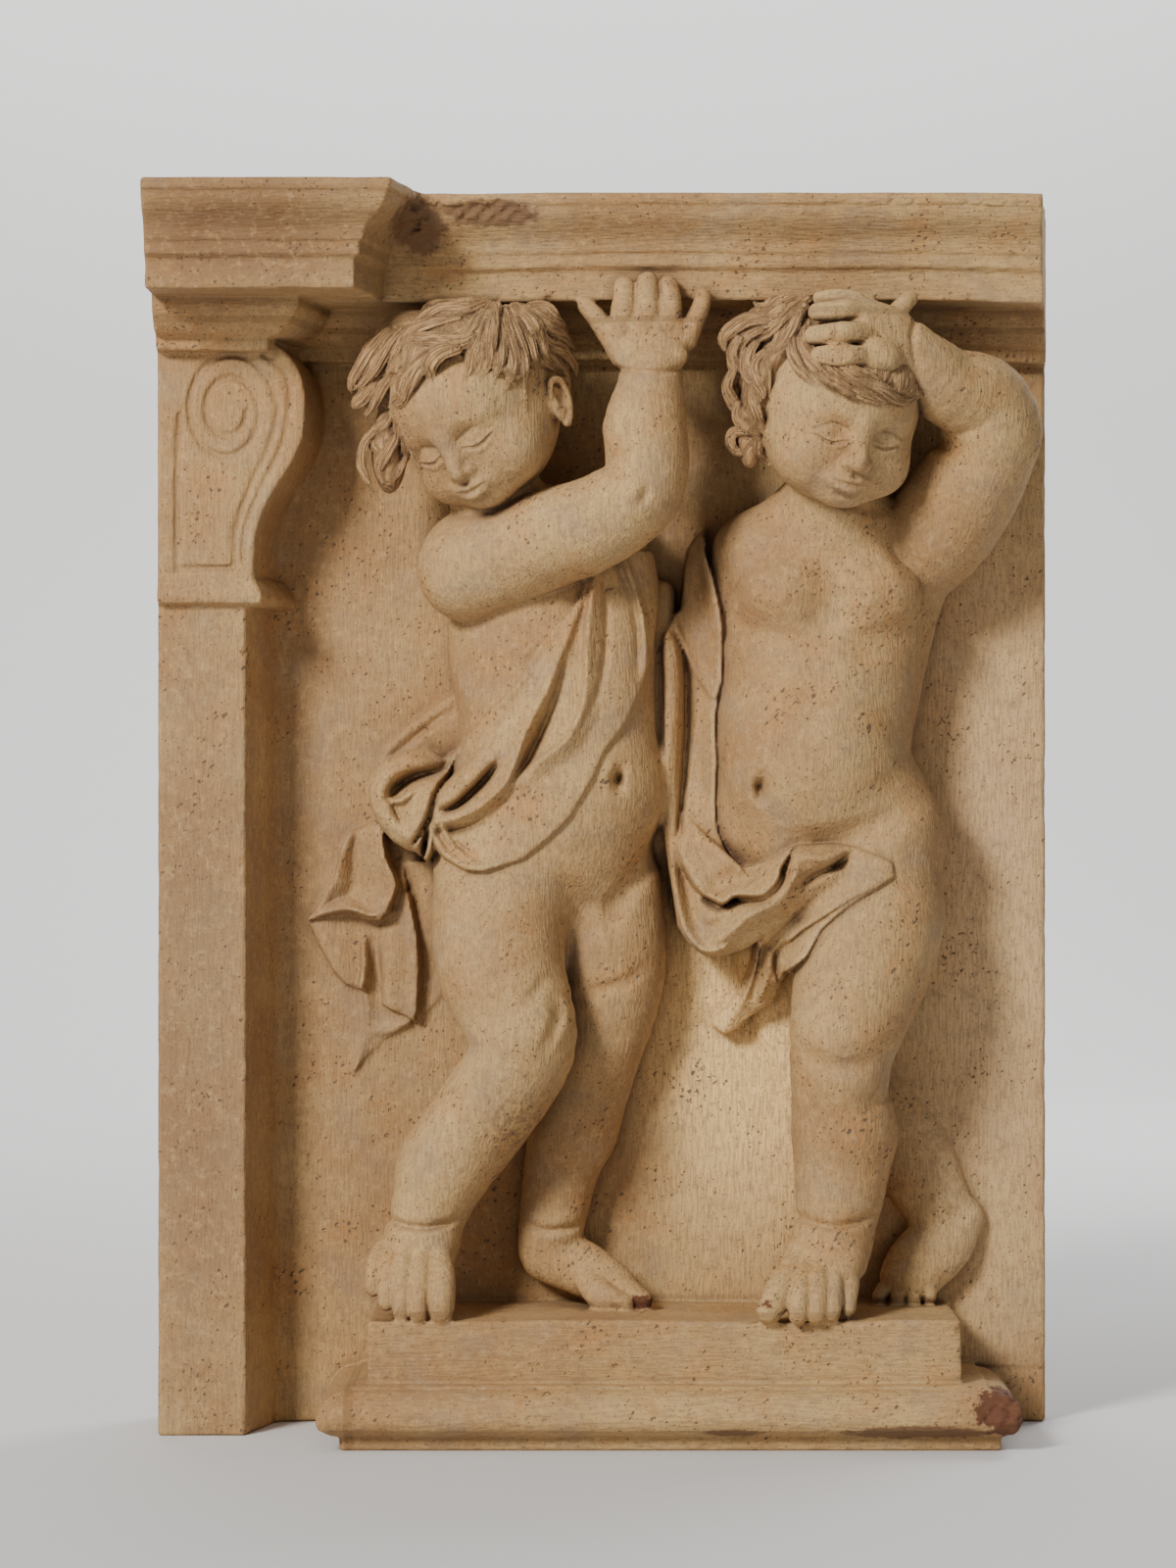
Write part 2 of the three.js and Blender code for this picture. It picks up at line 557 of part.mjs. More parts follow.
const RIGHT_PUTTO = {
  torso: [
    [116, 545, 44, 30, 30], [114, 522, 36, 58, 40], [112, 496, 28, 69, 48], [113, 464, 24, 70, 56], [106, 410, 26, 66, 60],
    [101, 362, 28, 67, 66], [110, 325, 26, 71, 60], [116, 296, 22, 70, 50],
  ],
  masses: [
    [[116, 515, 46, 33], [113, 555, 64, 31]],
    [[62, 504, 28, 32], [56, 470, 18, 26], [48, 430, 10, 20, 16]],
    [[196, 532, 38, 30, 26], [172, 500, 26, 26, 26], [156, 450, 12, 24, 24], [148, 400, 6, 22, 20]],
  ],
  arm: [
    [150, 488, 24, 30], [180, 516, 38, 37], [198, 545, 48, 37], [212, 570, 56, 36], [217, 592, 64, 34], [205, 610, 76, 31],
    [188, 623, 88, 28], [170, 633, 98, 23], [158, 640, 102, 19],
  ],
  palm: [[160, 640, 101, 19, 14], [144, 642, 108, 24, 13], [124, 642, 114, 24, 11]],
  fingers: [
    [[124, 656, 113, 6.5], [101, 654, 114, 6]],
    [[124, 641, 115, 7], [98, 640, 116, 6.5]],
    [[124, 627, 113, 6.5], [101, 625, 114, 6]],
    [[126, 664, 108, 5.5], [106, 664, 108, 5]],
  ],
  legs: [
    [
      [136, 300, 34, 50, 46], [139, 262, 50, 49, 46], [130, 226, 62, 45, 42], [119, 180, 70, 36, 35],
      [118, 150, 66, 33, 33], [119, 122, 60, 34, 32], [118, 84, 57, 30, 29], [113, 50, 60, 25, 25],
    ],
    [[86, 250, 8, 36, 24], [84, 215, 6, 32, 20], [98, 160, 4, 22, 16], [112, 130, 2, 16, 12]],
    [[130, 150, 2, 22, 16], [150, 125, 4, 26, 20], [172, 95, 6, 27, 20], [186, 66, 8, 24, 19]],
  ],
  feet: [
    { instep: [[113, 46, 60, 26], [108, 30, 78, 30, 20], [102, 20, 92, 30, 14]], toward: [0, 0, 1] },
    { instep: [[204, 60, 8, 15], [188, 40, 12, 22, 16], [172, 22, 16, 22, 16], [166, 12, 20, 20, 12]] },
  ],
  toes: [
    [[78, 20, 92, 9], [70, 10, 104, 9]],
    [[89, 19, 94, 7], [86, 8, 108, 6.5]],
    [[100, 19, 94, 7], [98, 8, 108, 6.5]],
    [[111, 20, 92, 6.5], [109, 9, 105, 6]],
    [[121, 21, 86, 6], [120, 11, 98, 6]],
  ],
  clothEdge: [
    [34, 300], [64, 286], [79, 306], [111, 300], [138, 306], [152, 300], [148, 286], [110, 282], [86, 262],
    [61, 240], [34, 232], [30, 262],
  ],
  folds: [
    [[24, 520, 12, 6], [32, 484, 16, 6], [42, 440, 22, 7], [38, 400, 26, 7]],
    [[-2, 448, 8, 8, 7], [3, 405, 16, 8, 7], [10, 352, 26, 8, 8], [9, 306, 36, 8], [16, 268, 42, 10], [34, 240, 48, 10], [62, 246, 62, 11], [88, 276, 76, 11, 9], [114, 294, 84, 10, 7], [146, 298, 80, 7, 5]],
    [[16, 430, 14, 9, 7], [22, 380, 22, 10, 8], [26, 320, 38, 10, 8], [40, 284, 56, 10, 8], [62, 282, 76, 8, 7], [78, 304, 88, 9, 7], [100, 304, 92, 9, 6], [126, 302, 88, 6]],
    [[10, 430, 4, 14, 8], [18, 360, 16, 20, 12], [28, 300, 34, 26, 14], [54, 264, 54, 26, 14], [92, 284, 70, 20, 12]],
  ],
  tails: [
    {
      pleats: [
        [[74, 270, 52, 20, 12], [60, 230, 26, 20, 12], [42, 186, 8, 12, 8]],
        [[90, 262, 56, 12, 12], [84, 232, 40, 12, 12], [78, 200, 26, 18, 10]],
      ],
      outline: [[96, 270], [42, 262], [46, 220], [37, 198], [44, 186], [54, 196], [80, 210], [86, 236]],
    },
  ],
  head: {
    at: [114, 604, 78],
    turn: [18, 13, -5],
    parting: 1,
    curls: [
      [[66, 620, 92, 9], [58, 598, 98, 9], [62, 574, 100, 7]],
      [[62, 596, 76, 8], [56, 574, 82, 8], [64, 556, 86, 6]],
      [[112, 652, 110, 8], [130, 640, 124, 8], [146, 626, 122, 6]],
      [[86, 650, 108, 8], [84, 632, 124, 8], [76, 620, 120, 6]],
    ],
  },
};

// The cloth is a thin skin over the belly, inside its edge seen from the front.
const CLOTH_THICKNESS = 4;

function frontOutline(corners) {
  return new THREE.Shape(corners.map(([across, up]) => {
    const p = onFigure(across, up, 0);
    return new THREE.Vector2(p.x, p.z);
  }));
}

function clothOver(torso, edge) {
  const skin = sweep(torso, { sides: 11, swell: CLOTH_THICKNESS });
  return skin.intersect(cutOut(frontOutline(edge), 0, CORNICE_PROJECTION));
}

function putto(figure) {
  const pieces = [
    sweep(figure.torso, { sides: 11 }),
    sweep(figure.arm),
    sweep(figure.palm),
    clothOver(figure.torso, figure.clothEdge),
    head(figure.head),
  ];
  for (const mass of figure.masses) pieces.push(sweep(mass));
  for (const leg of figure.legs) pieces.push(sweep(leg));
  for (const { instep, toward } of figure.feet) {
    pieces.push(sweep(instep, toward ? { toward: new THREE.Vector3(...toward) } : {}));
  }
  for (const digit of [...figure.fingers, ...figure.toes]) pieces.push(sweep(digit, { sides: 5 }));
  for (const fold of figure.folds) pieces.push(sweep(fold, { sides: 4 }));
  for (const { pleats, outline } of figure.tails) {
    const cloth = join(pleats.map((pleat) => sweep(pleat, { sides: 6 })));
    pieces.push(cloth.intersect(cutOut(frontOutline(outline), -1, CORNICE_PROJECTION)));
  }
  return join(pieces);
}

// The relief is one fired piece: what reaches behind the panel's back or outside its flanks is
// cut off flush, and the pockets shut in where limbs, locks and folds cross are solid clay.
function relief() {
  const front = PILASTER_PROJECTION + CORNICE_PROJECTION;
  const room = block(0, PANEL_WIDTH, 0, PANEL_HEIGHT, -PANEL_THICKNESS, front);
  const whole = join([
    block(0, PANEL_WIDTH, 0, PANEL_HEIGHT, -PANEL_THICKNESS, 0),
    pilaster(),
    collar(),
    scrollConsole(),
    entablature(),
    plinth(),
    putto(LEFT_PUTTO),
    putto(RIGHT_PUTTO),
  ]);
  const shells = whole.intersect(room).decompose();
  return shells.reduce((largest, next) => (next.volume() > largest.volume() ? next : largest));
}

function meshOf(made, name, material) {
  const { vertProperties, triVerts } = made.getMesh();
  const geometry = new THREE.BufferGeometry();
  geometry.setAttribute('position', new THREE.BufferAttribute(new Float32Array(vertProperties), 3));
  geometry.setIndex(new THREE.BufferAttribute(new Uint32Array(triVerts), 1));
  geometry.computeVertexNormals();
  const mesh = new THREE.Mesh(geometry, material);
  mesh.name = name;
  return mesh;
}

const terracotta = new THREE.MeshStandardMaterial({ color: 0xb48e62, roughness: 0.72, metalness: 0 });
const putti = meshOf(relief(), 'putti_relief', terracotta);
const depth = PANEL_THICKNESS + PILASTER_PROJECTION + CORNICE_PROJECTION;
putti.position.set(-PANEL_WIDTH / 2, depth / 2 - PANEL_THICKNESS, 0);

const group = new THREE.Group();
group.add(putti);
export default group;
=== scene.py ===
"""The terracotta relief's look: a modelled clay surface that replaces the plain CAD solid.

The clay is modelled as signed distances on a grid, in millimetres: across from the panel's left
flank, forward from the panel's face, and up from the foot. Soft unions join limb to body, and
creases, folds and locks are cut or laid on. The zero surface becomes one mesh.
"""

import math

import bpy
import numpy as np
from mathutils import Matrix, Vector


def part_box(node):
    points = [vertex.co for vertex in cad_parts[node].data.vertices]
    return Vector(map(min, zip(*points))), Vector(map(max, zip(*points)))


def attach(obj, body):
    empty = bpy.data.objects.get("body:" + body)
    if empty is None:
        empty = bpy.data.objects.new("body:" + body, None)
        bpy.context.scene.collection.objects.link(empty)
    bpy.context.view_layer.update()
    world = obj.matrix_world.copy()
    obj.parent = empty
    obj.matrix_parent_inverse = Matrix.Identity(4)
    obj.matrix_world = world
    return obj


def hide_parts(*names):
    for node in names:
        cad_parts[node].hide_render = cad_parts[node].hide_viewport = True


NODE = "putti_relief"
FAR = 1000.0

# Sizes shared with the CAD model
PANEL_THICKNESS = 35.0
PILASTER_WIDTH = 58.0
PILASTER_PROJECTION = 60.0
SIDE_SLOPE = 0.27
COLLAR_TOP = 569.0
COLLAR_HEIGHT = 18.0
COLLAR_PROJECTION = 7.0
CONSOLE_FOOT_WIDTH = 64.0
CONSOLE_HEAD_WIDTH = 75.0
CONSOLE_BULGE_WIDTH = 98.0
CONSOLE_PROJECTION = 62.0
BED_BOTTOM = 720.0
BED_FILLET_TOP = 728.0
SOFFIT = 752.0
FASCIA_TOP = 774.0
FILLET_TOP = 783.0
CYMA_TOP = 812.0
CORONA_PROJECTION = 75.0
CORNICE_PROJECTION = 100.0
RIGHT_END_DRAFT = 14.0
PLINTH_LEFT = 142.0
PLINTH_WIDTH = 388.0
PLINTH_HEIGHT = 82.0
PLINTH_PROJECTION = 105.0
BASE_MOULD_HEIGHT = 42.0
BASE_MOULD_REACH = 32.0
FOOT_FILLET_HEIGHT = 9.0
FOOT_FILLET_REACH = 17.0
RIGHT_REACH = 7.0

# Grid
BODY_STEP = 1.5
HEAD_STEP = 0.85
BODY_TRIANGLES = 520000
HEAD_TRIANGLES = 180000
HEAD_REACH = 98.0

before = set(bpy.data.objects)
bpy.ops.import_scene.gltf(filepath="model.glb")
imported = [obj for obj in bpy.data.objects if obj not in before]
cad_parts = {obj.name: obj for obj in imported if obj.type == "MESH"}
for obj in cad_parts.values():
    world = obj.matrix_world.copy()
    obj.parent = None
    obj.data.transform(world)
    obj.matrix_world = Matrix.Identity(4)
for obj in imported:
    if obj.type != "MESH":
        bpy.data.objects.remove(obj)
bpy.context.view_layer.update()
node_low, node_high = (np.array(corner, float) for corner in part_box(NODE))
WIDTH, DEPTH, HEIGHT = 1000.0 * (node_high - node_low)
PLINTH_MIDDLE = PLINTH_LEFT + PLINTH_WIDTH / 2


# Grid of signed distances

def smooth_min(a, b, soft):
    if soft <= 0:
        return np.minimum(a, b)
    near = np.maximum(soft - np.abs(a - b), 0)
    return np.minimum(a, b) - near * near * (0.25 / soft)


def smooth_max(a, b, soft):
    return -smooth_min(-a, -b, soft)


class Field:
    """Signed distances, negative inside the clay, on a grid of across, forward and up."""

    def __init__(self, low, high, step):
        self.step = step
        self.low = np.array(low, float)
        counts = np.ceil((np.array(high, float) - self.low) / step).astype(int) + 1
        self.counts = counts
        self.axes = [np.float32(self.low[i] + step * np.arange(counts[i])) for i in range(3)]
        self.values = np.full(counts, FAR, np.float32)

    def window(self, low, high, within=None):
        """The part of the grid between two corners, with its coordinates, or None if empty."""
        spans = []
        for i in range(3):
            least, most = (within[i].start, within[i].stop) if within else (0, self.counts[i])
            first = max(int(math.floor((low[i] - self.low[i]) / self.step)), least)
            last = min(int(math.ceil((high[i] - self.low[i]) / self.step)) + 1, most)
            if first >= last:
                return None
            spans.append(slice(first, last))
        across = self.axes[0][spans[0]][:, None, None]
        forward = self.axes[1][spans[1]][None, :, None]
        up = self.axes[2][spans[2]][None, None, :]
        return tuple(spans), across, forward, up

    def add(self, spans, distance, soft=0.0):
        self.values[spans] = smooth_min(self.values[spans], distance, soft)

    def cut(self, spans, distance, soft=0.0):
        self.values[spans] = smooth_max(self.values[spans], -distance, soft)

    def spans_of(self, other):
        """Where another field, whose grid lies on this one's, sits in it."""
        start = np.round((other.low - self.low) / self.step).astype(int)
        return tuple(slice(start[i], start[i] + other.counts[i]) for i in range(3))

    def merge(self, other, soft):
        self.add(self.spans_of(other), other.values, soft)

    def part(self, low, high):
        """An empty field over part of this one's grid."""
        first = np.maximum(np.floor((np.array(low) - self.low) / self.step), 0).astype(int)
        last = np.minimum(np.ceil((np.array(high) - self.low) / self.step) + 1, self.counts)
        begin = self.low + first * self.step
        return Field(begin, begin + (last - 1 - first) * self.step, self.step)

    def sample(self, points):
        """Distances at points, by trilinear interpolation."""
        place = (points - self.low) / self.step
        place = np.clip(place, 0, self.counts - 1.001)
        cell = place.astype(int)
        share = place - cell
        total = np.zeros(len(points))
        for corner in range(8):
            offset = np.array([corner & 1, (corner >> 1) & 1, corner >> 2])
            weight = np.prod(np.where(offset, share, 1 - share), axis=1)
            index = cell + offset
            total += weight * self.values[index[:, 0], index[:, 1], index[:, 2]]
        return total


def twin(field, values):
    """A field on the same grid with other values."""
    other = Field(field.low, field.low, field.step)
    other.counts, other.axes, other.values = field.counts, field.axes, values
    return other


# Shapes

def spline(stations, spacing=None):
    """A Catmull-Rom curve through rows of numbers, as closely spaced rows."""
    rows = np.array(stations, float)
    if len(rows) < 2:
        return rows
    padded = np.vstack([2 * rows[0] - rows[1], rows, 2 * rows[-1] - rows[-2]])
    out = []
    for i in range(1, len(padded) - 2):
        a, b, c, d = padded[i - 1:i + 3]
        length = np.linalg.norm(c[:3] - b[:3])
        radius = min(b[3], c[3]) if rows.shape[1] > 3 else 4.0
        gap = spacing or min(max(0.4 * radius, 2.0), 12.0)
        count = max(int(math.ceil(length / gap)), 1)
        for t in np.arange(count) / count:
            out.append(0.5 * (
                2 * b + (c - a) * t + (2 * a - 5 * b + 4 * c - d) * t ** 2
                + (3 * b - a - 3 * c + d) * t ** 3
            ))
    out.append(rows[-1])
    return np.array(out)


def full(station):
    """A station with both half-widths: a round one leaves its half-depth out."""
    return list(station) + [station[3]] if len(station) == 4 else list(station)


def on_figure(station):
    across, up, forward = station[:3]
    return [PLINTH_MIDDLE + across, forward, PLINTH_HEIGHT + up, *station[3:]]


def on_panel(station):
    """Across, forward and up from the panel's own corner, unlike a figure's station."""
    return list(station)


FORWARD = np.array([0.0, 1.0, 0.0])


def limb(field, stations, margin=12.0, place=on_figure, toward=FORWARD, strands=0, strand_depth=0.0):
    """Distances to a tube through stations, with elliptical sections. Returns its window too.

    With strands it also returns the place across and along the tube, in millimetres.
    """
    rows = spline([place(full(s)) for s in stations])
    centres, wide, deep = rows[:, :3], np.maximum(rows[:, 3], 0.3), np.maximum(rows[:, 4], 0.3)
    reach = np.maximum(wide, deep)[:, None] + margin
    whole = field.window((centres - reach).min(0), (centres + reach).max(0))
    if whole is None:
        return None
    spans = whole[0]
    out = np.full([s.stop - s.start for s in spans], FAR, np.float32)
    comb = np.zeros((2, *out.shape), np.float32) if strands else None
    run = 0.0
    for i in range(len(centres) - 1):
        a, b = centres[i], centres[i + 1]
        along = b - a
        length = np.linalg.norm(along)
        if length < 1e-6:
            continue
        grow = max(wide[i], wide[i + 1], deep[i], deep[i + 1]) + margin
        view = field.window(np.minimum(a, b) - grow, np.maximum(a, b) + grow, spans)
        if view is None:
            continue
        inner, x, f, u = view
        tangent = along / length
        side = np.cross(tangent, toward)
        if np.linalg.norm(side) < 0.1:
            side = np.array([1.0, 0.0, 0.0])
        side /= np.linalg.norm(side)
        face = np.cross(side, tangent)
        vx, vf, vu = x - a[0], f - a[1], u - a[2]
        share = np.clip((vx * along[0] + vf * along[1] + vu * along[2]) / length ** 2, 0, 1)
        wx, wf, wu = vx - share * along[0], vf - share * along[1], vu - share * along[2]
        rw = wide[i] + share * (wide[i + 1] - wide[i])
        rd = deep[i] + share * (deep[i + 1] - deep[i])
        s = (wx * side[0] + wf * side[1] + wu * side[2]) / rw
        q = (wx * face[0] + wf * face[1] + wu * face[2]) / rd
        rl = np.minimum(rw, rd)
        e = (wx * tangent[0] + wf * tangent[1] + wu * tangent[2]) / rl
        k0 = np.sqrt(s * s + q * q + e * e)
        k1 = np.sqrt((s / rw) ** 2 + (q / rd) ** 2 + (e / rl) ** 2) + 1e-6
        distance = k0 * (k0 - 1) / k1
        local = tuple(
            slice(inner[n].start - spans[n].start, inner[n].stop - spans[n].start) for n in range(3)
        )
        if strands:
            turn = np.arctan2(q, s) + 0.03 * i
            distance = distance + strand_depth * (1 - np.abs(np.sin(strands * turn / 2)))
            closer = distance < out[local]
            for layer, value in zip(comb, (turn * wide.max(), run + share * length)):
                layer[local] = np.where(closer, value, layer[local])
        out[local] = np.minimum(out[local], distance)
        run += length
    return (spans, out, comb) if strands else (spans, out)


def lay(field, stations, soft=6.0, **options):
    made = limb(field, stations, margin=soft + 3, **options)
    if made:
        field.add(*made, soft)


def groove(field, stations, soft=2.0, **options):
    made = limb(field, stations, margin=soft + 3, **options)
    if made:
        field.cut(*made, soft)


def ball(field, centre, radii, soft=8.0, carve=False, place=on_figure, turn=None):
    """An ellipsoid joined to the field, or cut from it. Its radii run across, up and forward."""
    middle = np.array(place([*centre, 1.0])[:3])
    across, up, forward = radii
    grow = max(radii) + soft + 3
    view = field.window(middle - grow, middle + grow)
    if view is None:
        return
    spans, x, f, u = view
    offset = [x - middle[0], f - middle[1], u - middle[2]]
    if turn is None:
        s, q, e = offset
    else:
        s, q, e = (sum(turn[r][c] * offset[c] for c in range(3)) for r in range(3))
    size = (across, forward, up)
    k0 = np.sqrt((s / size[0]) ** 2 + (q / size[1]) ** 2 + (e / size[2]) ** 2)
    k1 = np.sqrt((s / size[0] ** 2) ** 2 + (q / size[1] ** 2) ** 2 + (e / size[2] ** 2) ** 2) + 1e-6
    distance = k0 * (k0 - 1) / k1
    if carve:
        field.cut(spans, distance, soft)
    else:
        field.add(spans, distance, soft)


def polygon(a, b, corners):
    """Signed distance in a plane to a closed outline, negative inside."""
    points = np.array(corners, float)
    shape = np.broadcast(a, b).shape
    nearest = np.full(shape, FAR * FAR)
    inside = np.zeros(shape, bool)
    for i in range(len(points)):
        p, q = points[i - 1], points[i]
        edge = q - p
        va, vb = a - p[0], b - p[1]
        share = np.clip((va * edge[0] + vb * edge[1]) / max(edge @ edge, 1e-9), 0, 1)
        nearest = np.minimum(nearest, (va - share * edge[0]) ** 2 + (vb - share * edge[1]) ** 2)
        crosses = (p[1] > b) != (q[1] > b)
        if abs(edge[1]) > 1e-9:
            inside ^= crosses & (a < p[0] + (b - p[1]) * edge[0] / edge[1])
    return np.where(inside, -1.0, 1.0) * np.sqrt(nearest)


def box(a, low, high):
    return np.maximum(low - a, a - high)


# Architecture

def entablature_profile():
    """Reach and height, from the bed fillet up to the top, closed behind the panel's face."""
    lip = CORONA_PROJECTION + 4
    profile = [
        [14, BED_BOTTOM], [14, BED_FILLET_TOP], [22, BED_FILLET_TOP + 2], [27, BED_FILLET_TOP + 6],
        [34, SOFFIT - 10], [36, SOFFIT - 6], [36, SOFFIT + 1], [CORONA_PROJECTION, SOFFIT],
        [CORONA_PROJECTION, FASCIA_TOP - 3], [lip, FASCIA_TOP], [lip, FILLET_TOP - 1],
    ]
    for i in range(13):
        share = i / 12
        wave = share - math.sin(2 * math.pi * share) / 8
        profile.append([lip + 2 + (CORNICE_PROJECTION - lip - 4) * wave,
                        FILLET_TOP + (CYMA_TOP - FILLET_TOP) * share])
    profile += [[CORNICE_PROJECTION, CYMA_TOP], [CORNICE_PROJECTION, HEIGHT], [-FAR, HEIGHT],
                [-FAR, BED_BOTTOM]]
    return profile


def plinth_profile():
    profile = [[-FAR, 0], [FOOT_FILLET_REACH, 0], [FOOT_FILLET_REACH, FOOT_FILLET_HEIGHT],
               [BASE_MOULD_REACH - 9, FOOT_FILLET_HEIGHT + 2],
               [BASE_MOULD_REACH - 2, FOOT_FILLET_HEIGHT + 6]]
    for i in range(9):
        angle = math.pi / 2 * i / 8
        profile.append([12 + (BASE_MOULD_REACH - 12) * math.cos(angle),
                        20 + (BASE_MOULD_HEIGHT - 23) * math.sin(angle)])
    profile += [[10, BASE_MOULD_HEIGHT - 1], [-FAR, BASE_MOULD_HEIGHT]]
    return profile


def collar_profile():
    bottom = COLLAR_TOP - COLLAR_HEIGHT
    return [[-FAR, bottom], [0, bottom], [COLLAR_PROJECTION, bottom + 2],
            [COLLAR_PROJECTION + 1, bottom + 7],
            [COLLAR_PROJECTION - 1, bottom + 12], [1, COLLAR_TOP + 2], [-FAR, COLLAR_TOP + 2]]


def mitred(field, profile, left, width, projection, left_return, slope=0.0, extra=0.0, soft=1.0):
    """A moulding that returns round a block, the same in plan as the CAD model's."""
    reach = max(p[0] for p in profile)
    low = min(p[1] for p in profile)
    high = max(p[1] for p in profile)
    corner = (left + width + (reach + projection) * (1 + slope) + extra + 4, projection + reach + 4,
              high + 4)
    spans, x, f, u = field.window((left - reach - 4, -4, low - 4), corner)
    distance = polygon(f - projection, u, profile)
    right = (x - left - width - extra - slope * (projection - f)) / (1 + slope)
    distance = np.maximum(distance, polygon(right, u, profile) * (1 + slope) ** 0.5)
    over_left = polygon(left - x, u, profile) if left_return else left - x
    distance = np.maximum(distance, over_left)
    field.add(spans, distance.astype(np.float32), soft)


def console_outline():
    top = BED_FILLET_TOP - 1
    height = top - COLLAR_TOP
    curve = []
    bulge = COLLAR_TOP + 0.72 * height
    for a, b, c, d in (
        ((CONSOLE_FOOT_WIDTH, COLLAR_TOP + 0.08 * height), (CONSOLE_FOOT_WIDTH, COLLAR_TOP + 0.42 * height),
         (CONSOLE_BULGE_WIDTH, COLLAR_TOP + 0.42 * height), (CONSOLE_BULGE_WIDTH, bulge)),
        ((CONSOLE_BULGE_WIDTH, bulge), (CONSOLE_BULGE_WIDTH, bulge + 0.16 * height),
         (CONSOLE_HEAD_WIDTH + 14, top - 8), (CONSOLE_HEAD_WIDTH, top)),
    ):
        for t in np.linspace(0, 1, 13):
            weights = ((1 - t) ** 3, 3 * t * (1 - t) ** 2, 3 * t * t * (1 - t), t ** 3)
            curve.append([sum(w * p[n] for w, p in zip(weights, (a, b, c, d))) for n in range(2)])
    return [[-9, COLLAR_TOP - 4], [CONSOLE_FOOT_WIDTH, COLLAR_TOP - 4], *curve, [-9, top]]


def console_lines():
    """The carved line that frames the console's foot and winds up into the volute."""
    height = BED_BOTTOM - COLLAR_TOP
    foot = COLLAR_TOP + 7
    middle = (CONSOLE_BULGE_WIDTH / 2 - 2, COLLAR_TOP + 0.74 * height)
    winding = [[51, foot + 2], [53, COLLAR_TOP + 0.24 * height], [64, COLLAR_TOP + 0.44 * height],
               [75, COLLAR_TOP + 0.6 * height]]
    outer, eye, turns, stretch = 33.0, 12.5, 2.0, 1.28
    for i in range(61):
        share = i / 60
        angle = 2 * math.pi * turns * share
        size = outer + (eye - outer) * min(share * 1.15, 1) ** 0.85
        winding.append([middle[0] + size * math.cos(angle), middle[1] + size * stretch * math.sin(angle)])
    frame_left = [[15, middle[1] - 2], [13, foot + 60], [13, foot]]
    margin = [[57, foot + 6], [59, COLLAR_TOP + 0.24 * height], [71, COLLAR_TOP + 0.43 * height],
              [83, COLLAR_TOP + 0.6 * height], [88, middle[1] + 8], [84, middle[1] + 26],
              [70, middle[1] + 38]]
    return [winding, frame_left, [[13, foot], [51, foot + 1]], margin]


def architecture(field):
    spans, x, f, u = field.window(field.low, field.low + field.step * field.counts)
    slab = smooth_max(np.maximum(box(x, 0, WIDTH), box(u, 0, HEIGHT)), box(f, -PANEL_THICKNESS, 0), 3.5)
    field.values = slab.astype(np.float32)

    spans, x, f, u = field.window((-4, -4, -4), (100, PILASTER_PROJECTION + 14, SOFFIT))
    side = (x - PILASTER_WIDTH - SIDE_SLOPE * (PILASTER_PROJECTION - f)) / (1 + SIDE_SLOPE ** 2) ** 0.5
    pier = smooth_max(side, f - PILASTER_PROJECTION, 1.5)
    pier = np.maximum(np.maximum(pier, -x), box(u, 0, SOFFIT))
    field.add(spans, pier, 9.0)

    spans, x, f, u = field.window((-4, -4, COLLAR_TOP - 8),
                                  (130, CONSOLE_PROJECTION + 8, BED_FILLET_TOP + 4))
    spread = np.where(x > CONSOLE_FOOT_WIDTH / 2, SIDE_SLOPE / 2 * (CONSOLE_PROJECTION - f), 0)
    scroll = polygon(x - spread, u, console_outline())
    field.add(spans, smooth_max(scroll, f - CONSOLE_PROJECTION, 1.5).astype(np.float32), 5.0)
    line_depth = CONSOLE_PROJECTION + 0.2
    for line in console_lines():
        groove(field, [[a, line_depth, b, 2.2] for a, b in line], soft=1.2, place=on_panel)

    mitred(field, collar_profile(), 0, CONSOLE_FOOT_WIDTH - 2, PILASTER_PROJECTION, False, SIDE_SLOPE)
    profile = entablature_profile()
    spans, x, f, u = field.window((-4, -4, BED_BOTTOM - 8), (WIDTH + 4, CORNICE_PROJECTION + 4, HEIGHT + 4))
    level = u + 0.9 * np.sin(x / 83.0) + 0.5 * np.sin(x / 31.0 + 1)
    reach = f + 0.7 * np.sin(x / 47.0 + u / 60.0)
    cornice = polygon(reach, level, profile)
    end = x - WIDTH + RIGHT_END_DRAFT * f / CORNICE_PROJECTION
    field.add(spans, np.maximum(np.maximum(cornice, end), u - HEIGHT).astype(np.float32), 1.5)
    mitred(field, profile, 0, PILASTER_WIDTH + 2, PILASTER_PROJECTION, False, SIDE_SLOPE)

    mitred(field, plinth_profile(), PLINTH_LEFT, PLINTH_WIDTH, PLINTH_PROJECTION, True, 0.0, RIGHT_REACH)
    right = PLINTH_LEFT + PLINTH_WIDTH
    spans, x, f, u = field.window((PLINTH_LEFT - 4, -4, -4),
                                  (right + 4, PLINTH_PROJECTION + 4, PLINTH_HEIGHT + 4))
    top = PLINTH_HEIGHT + 0.6 * np.sin(x / 37.0)
    block = smooth_max(box(x, PLINTH_LEFT, right), f - PLINTH_PROJECTION, 2.0)
    field.add(spans, smooth_max(block, u - top, 2.5).astype(np.float32), 1.0)


# Heads. A head's own axes are x to the viewer's right, y up and z forward, in millimetres from
# the skull's middle. A turn is in degrees: yaw to the viewer's right, pitch down, roll leftwards.

